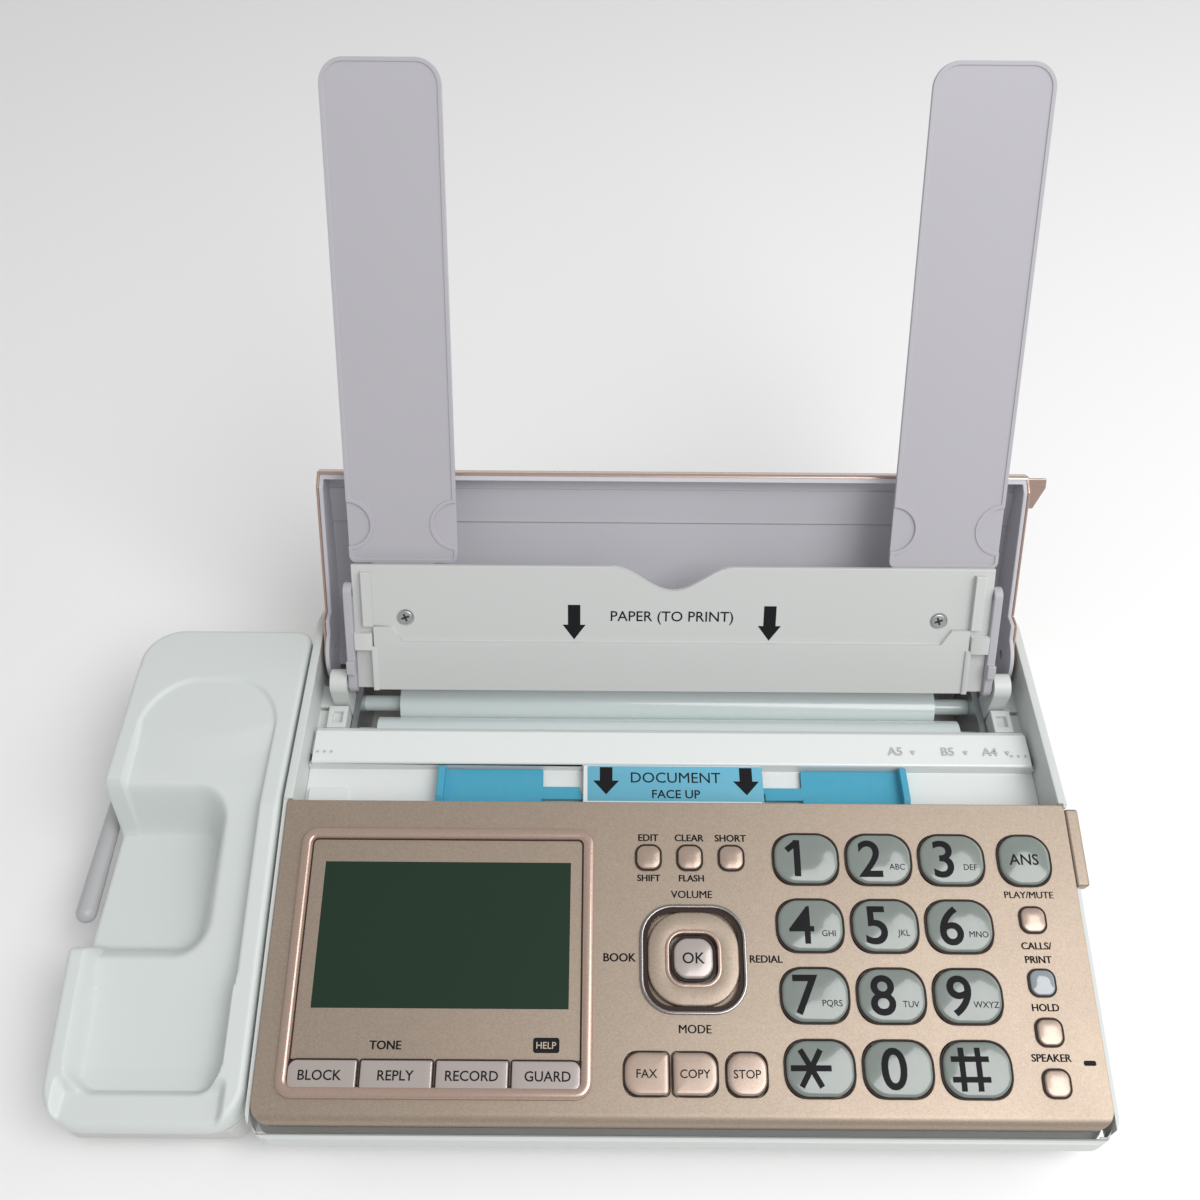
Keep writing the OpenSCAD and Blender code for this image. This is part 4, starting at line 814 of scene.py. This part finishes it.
for i, (digit, group) in enumerate(DIAL):
    x, y = DIAL_X + DIAL_PITCH_X * (i % 3), DIAL_Y - DIAL_PITCH_Y * (i // 3)
    node = "dial_key_" + DIAL_NAMES.get(digit, digit)
    press_key(node, x, y, 20.6, 16, 6.4, SMOKE, bulge=0.028, **DIAL_CAP)
    lay_print(dial_figure(digit, group), node + "_figure", node, at(x, y))
press_key("answering_key", RIGHT_COLUMN, DIAL_Y, 16.4, 16, 6.2, SMOKE, bulge=0.03, **DIAL_CAP)
for node, x, y in SMALL_KEYS:
    press_key(node, x, y, 7.6, 7.6, 2.5, LAMP if node == "call_log_key" else CHAMPAGNE_KEY, **SMALL_CAP)
for node, _, x, width, left, right in COMMAND_KEYS:
    press_key(node, x, COMMAND_ROW, width, 12.2, left, CHAMPAGNE_KEY, right_radius=right, **COMMAND_CAP)
for i, (_, end) in enumerate(SOFT_KEYS):
    press_key(f"soft_key_{i + 1}", soft_key_x(i) + 0.5 * end, SOFT_ROW, 21.7 - abs(end), 8.6,
              OUTER_END if end > 0 else INNER_END, SOFT_KEY,
              right_radius=OUTER_END if end < 0 else INNER_END, **SOFT_CAP)
press_key("select_key", NAVIGATION_X, NAVIGATION_Y, 12.4, 12.4, 4.2, SOFT_KEY, **SELECT_CAP)


# ------------------------------------------------------------------ printed marks

# Word, place and letter size
PANEL_WORDS = (
    ("PLAY/MUTE", RIGHT_COLUMN, 69.6, 3.1), ("CALLS/", RIGHT_COLUMN, 53.6, 3.1),
    ("PRINT", RIGHT_COLUMN, 49.4, 3.1), ("HOLD", RIGHT_COLUMN, 35.0, 3.1),
    ("SPEAKER", RIGHT_COLUMN - 0.5, 20.4, 3.1), ("EDIT", -9.2, 87.4, 3.2),
    ("CLEAR", 4.2, 87.4, 3.2), ("SHORT", 17.7, 87.4, 3.2), ("SHIFT", -9.2, 74.2, 3.0),
    ("FLASH", 4.6, 74.2, 3.0), ("VOLUME", 4.5, 69.0, 3.4), ("BOOK", -18.6, 49.2, 3.6),
    ("REDIAL", 27.4, 49.0, 3.2), ("MODE", 4.5, 28.0, 3.6), ("TONE", -90.0, 22.8, 3.6),
)
BADGE_X, BADGE_Y, BADGE_H = -41.0, 23.0, 0.08


def print_on_panel():
    """The words on the panel, the slit of the speaker lamp, and the badge beside the display."""
    bm = bmesh.new()
    for text, x, y, size in PANEL_WORDS:
        # Each word stands twice, a hair apart, which makes it bolder. A bolder M would fold over itself
        for shift in (-0.07, 0.07):
            add_copy(bm, letters(text, size, 0.0 if "M" in text else 0.03, 0.1), at(x + shift, y))
    add_copy(bm, block(3.3, 1.0, 0.1, 0.4), at(124, 19, -0.05))
    keep(bm, "panel_print", "panel", INK, place=ON_PANEL, merge=0)
    keep(block(8.0, 4.4, BADGE_H, 0.8), "help_badge", "panel", INK,
         place=ON_PANEL @ at(BADGE_X, BADGE_Y))
    keep(letters("HELP", 2.8, 0.02, 0.06), "help_badge_word", "panel", PALE_PRINT,
         place=ON_PANEL @ at(BADGE_X, BADGE_Y, BADGE_H), merge=0)


def print_on_keys():
    """The words on the key caps."""
    words = [(node, text, 3.5, 0.03, x, COMMAND_ROW) for node, text, x, *_ in COMMAND_KEYS]
    words += [(f"soft_key_{i + 1}", text, 4.1, 0.04, soft_key_x(i), SOFT_ROW)
              for i, (text, _) in enumerate(SOFT_KEYS)]
    words += [("select_key", "OK", 4.8, 0.04, NAVIGATION_X, NAVIGATION_Y),
              ("answering_key", "ANS", 5.0, 0.05, 112.4, DIAL_Y)]
    for node, text, size, bold, x, y in words:
        lay_print(letters(text, size, bold, 0.1), node + "_word", node, at(x, y))


def mark_navigation_key():
    """Small raised triangles that point outwards on the navigation key."""
    bm = bmesh.new()
    for quarter in range(4):
        mark = bmesh.new()
        bmesh.ops.create_circle(mark, cap_ends=True, radius=0.95, segments=3)
        pull(mark, mark.faces[:], 0.12)
        add_copy(bm, mark, at(NAVIGATION_X, NAVIGATION_Y, 1.05) @ turned(90 * quarter) @ at(0, 11.2))
    keep(bm, "navigation_marks", body_of_node("navigation_key"), CHAMPAGNE_KEY,
         place=ON_PANEL, merge=0)


def arrow(width, length, stem, head, depth):
    """An arrow that points along -Y, with its middle at the origin."""
    half = length / 2
    outline = ((0, -half), (width / 2, head - half), (stem / 2, head - half), (stem / 2, half),
               (-stem / 2, half), (-stem / 2, head - half), (-width / 2, head - half))
    return prism(outline, depth)


# Front and back edge of the cover plate in the deck, as (y, z), and the height of the ledge behind it
COVER_FRONT, COVER_BACK = (97, 35.6), (117.35, 37.56)
COVER_SLOPE = math.atan2(COVER_BACK[1] - COVER_FRONT[1], COVER_BACK[0] - COVER_FRONT[0])
LEDGE_TOP = 38.96
LABEL_H = 0.2


def print_on_deck():
    """The document label on the cover plate, and the paper-size marks moulded in the ledge."""
    cover = MACHINE @ at(0, *COVER_BACK) @ Matrix.Rotation(COVER_SLOPE, 4, "X")
    keep(block(60.9, 13.4, LABEL_H, 0.6, 0.06), "document_label", "machine", LABEL,
         place=cover @ at(1.0, -7.0, 0.02))
    bm = bmesh.new()
    for x in (-23.0, 25.6):
        add_copy(bm, arrow(9.0, 10.3, 4.4, 5.2, 0.06), at(x, -5.9, LABEL_H))
    add_copy(bm, letters("DOCUMENT", 5.6, depth=0.08), at(1.2, -4.6, LABEL_H + 0.04))
    add_copy(bm, letters("FACE UP", 4.4, 0.04, 0.08), at(1.2, -10.8, LABEL_H + 0.04))
    keep(bm, "document_label_print", "machine", INK, place=cover, merge=0)
    bm = bmesh.new()
    for text, x in (("A5", 78.8), ("B5", 97.4), ("A4", 112.1)):
        add_copy(bm, letters(text, 4.6, 0.03, 0.24), at(x, 123.2))
        add_copy(bm, arrow(1.7, 1.9, 0.5, 1.7, 0.12), at(x + 6.2, 122.6))
    for side in (-1, 1):
        for i in range(3):
            add_copy(bm, block(0.9, 0.9, 0.12, 0.4), at(side * (119.6 + 2.4 * i), 121.5))
    keep(bm, "paper_size_marks", "machine", MOULDED_MARK, place=MACHINE @ at(0, 0, LEDGE_TOP), merge=0)


def finish_tray():
    """The feed arrows printed on the paper tray, and its two screws, with painted shade for their cross slots.
    """
    body = body_of_node("paper_tray")
    bm = bmesh.new()
    for side in (-1, 1):
        add_copy(bm, arrow(8.2, 13.1, 4.4, 5.6, 0.06), at(side * 34.7, 24.35, 1.08))
    add_copy(bm, letters("PAPER (TO PRINT)", 5.4, 0.03, 0.08), at(0, 26.2, 1.12))
    keep(bm, "paper_tray_print", body, INK, place=ON_TRAY, merge=0)
    heads, slot_shades = bmesh.new(), bmesh.new()
    for side in (-1, 1):
        place = at(side * 94.6, 25.7, 0.38)
        add_copy(heads, block(5.2, 5.2, 1.0, 2.55, 0.45, segments=3), place)
        # Each cross slot is a dark plate of painted shade laid on the head
        for degrees in (20, 110):
            add_copy(slot_shades, block(3.0, 0.7, 0.05), place @ at(0, 0, 0.97) @ turned(degrees))
    keep(heads, "tray_screws", body, STEEL, place=ON_TRAY)
    keep(slot_shades, "tray_screw_slot_shades", body, DARK, place=ON_TRAY, merge=0)


print_on_panel()
print_on_keys()
mark_navigation_key()
print_on_deck()
finish_tray()


# ------------------------------------------------------------------ camera, light

CAMERA_PLACE = (0.00785, -0.23115, 0.4008)
PITCH, YAW, ROLL = math.radians(51.05), math.radians(0.07), math.radians(-0.47)
LAMP_AIM = (0, 0, 0.05)
WORLD_STRENGTH = 0.52


def make_camera():
    """The camera, which looks down along its pitch, a little to the side, and rolled a little."""
    ahead = Vector((math.sin(YAW) * math.cos(PITCH), math.cos(YAW) * math.cos(PITCH), -math.sin(PITCH)))
    right = Vector((math.cos(YAW), -math.sin(YAW), 0))
    down = ahead.cross(right)
    side = right * math.cos(ROLL) + down * math.sin(ROLL)
    below = down * math.cos(ROLL) - right * math.sin(ROLL)
    data = bpy.data.cameras.new("camera")
    data.lens = 36
    data.sensor_width = 36
    data.clip_start = 0.01
    camera = bpy.data.objects.new("camera", data)
    bpy.context.scene.collection.objects.link(camera)
    axes = Matrix((side, -below, -ahead)).transposed().to_4x4()
    camera.matrix_world = Matrix.Translation(CAMERA_PLACE) @ axes
    bpy.context.scene.camera = camera


def area_light(name, place, size, power):
    """A soft rectangular lamp that looks at the machine."""
    data = bpy.data.lights.new(name, "AREA")
    data.shape = "RECTANGLE"
    data.size, data.size_y = size
    data.energy = power
    obj = bpy.data.objects.new(name, data)
    bpy.context.scene.collection.objects.link(obj)
    obj.location = place
    obj.rotation_euler = (Vector(LAMP_AIM) - Vector(place)).to_track_quat("-Z", "Y").to_euler()


def make_floor():
    """A plain pale floor."""
    bm = bmesh.new()
    bmesh.ops.create_grid(bm, x_segments=1, y_segments=1, size=3.0)
    mesh = bpy.data.meshes.new("floor")
    bm.to_mesh(mesh)
    bm.free()
    floor = bpy.data.objects.new("floor", mesh)
    bpy.context.scene.collection.objects.link(floor)
    material = bpy.data.materials.new("pale_floor")
    material.use_nodes = True
    shader = material.node_tree.nodes["Principled BSDF"]
    shader.inputs["Base Color"].default_value = (0.93, 0.93, 0.93, 1)
    shader.inputs["Roughness"].default_value = 0.9
    set_material(floor, material)


def make_studio():
    """An even pale world and two soft lamps."""
    scene = bpy.context.scene
    scene.view_settings.view_transform = "Standard"
    world = bpy.data.worlds.new("studio")
    world.use_nodes = True
    back = world.node_tree.nodes["Background"]
    back.inputs["Color"].default_value = (1, 1, 1, 1)
    back.inputs["Strength"].default_value = WORLD_STRENGTH
    scene.world = world
    area_light("soft_top", (0.5, -0.42, 1.0), (0.8, 0.7), 8.0)
    area_light("soft_right", (1.1, 0.2, 0.6), (0.7, 0.9), 2.5)


make_camera()
make_studio()
make_floor()
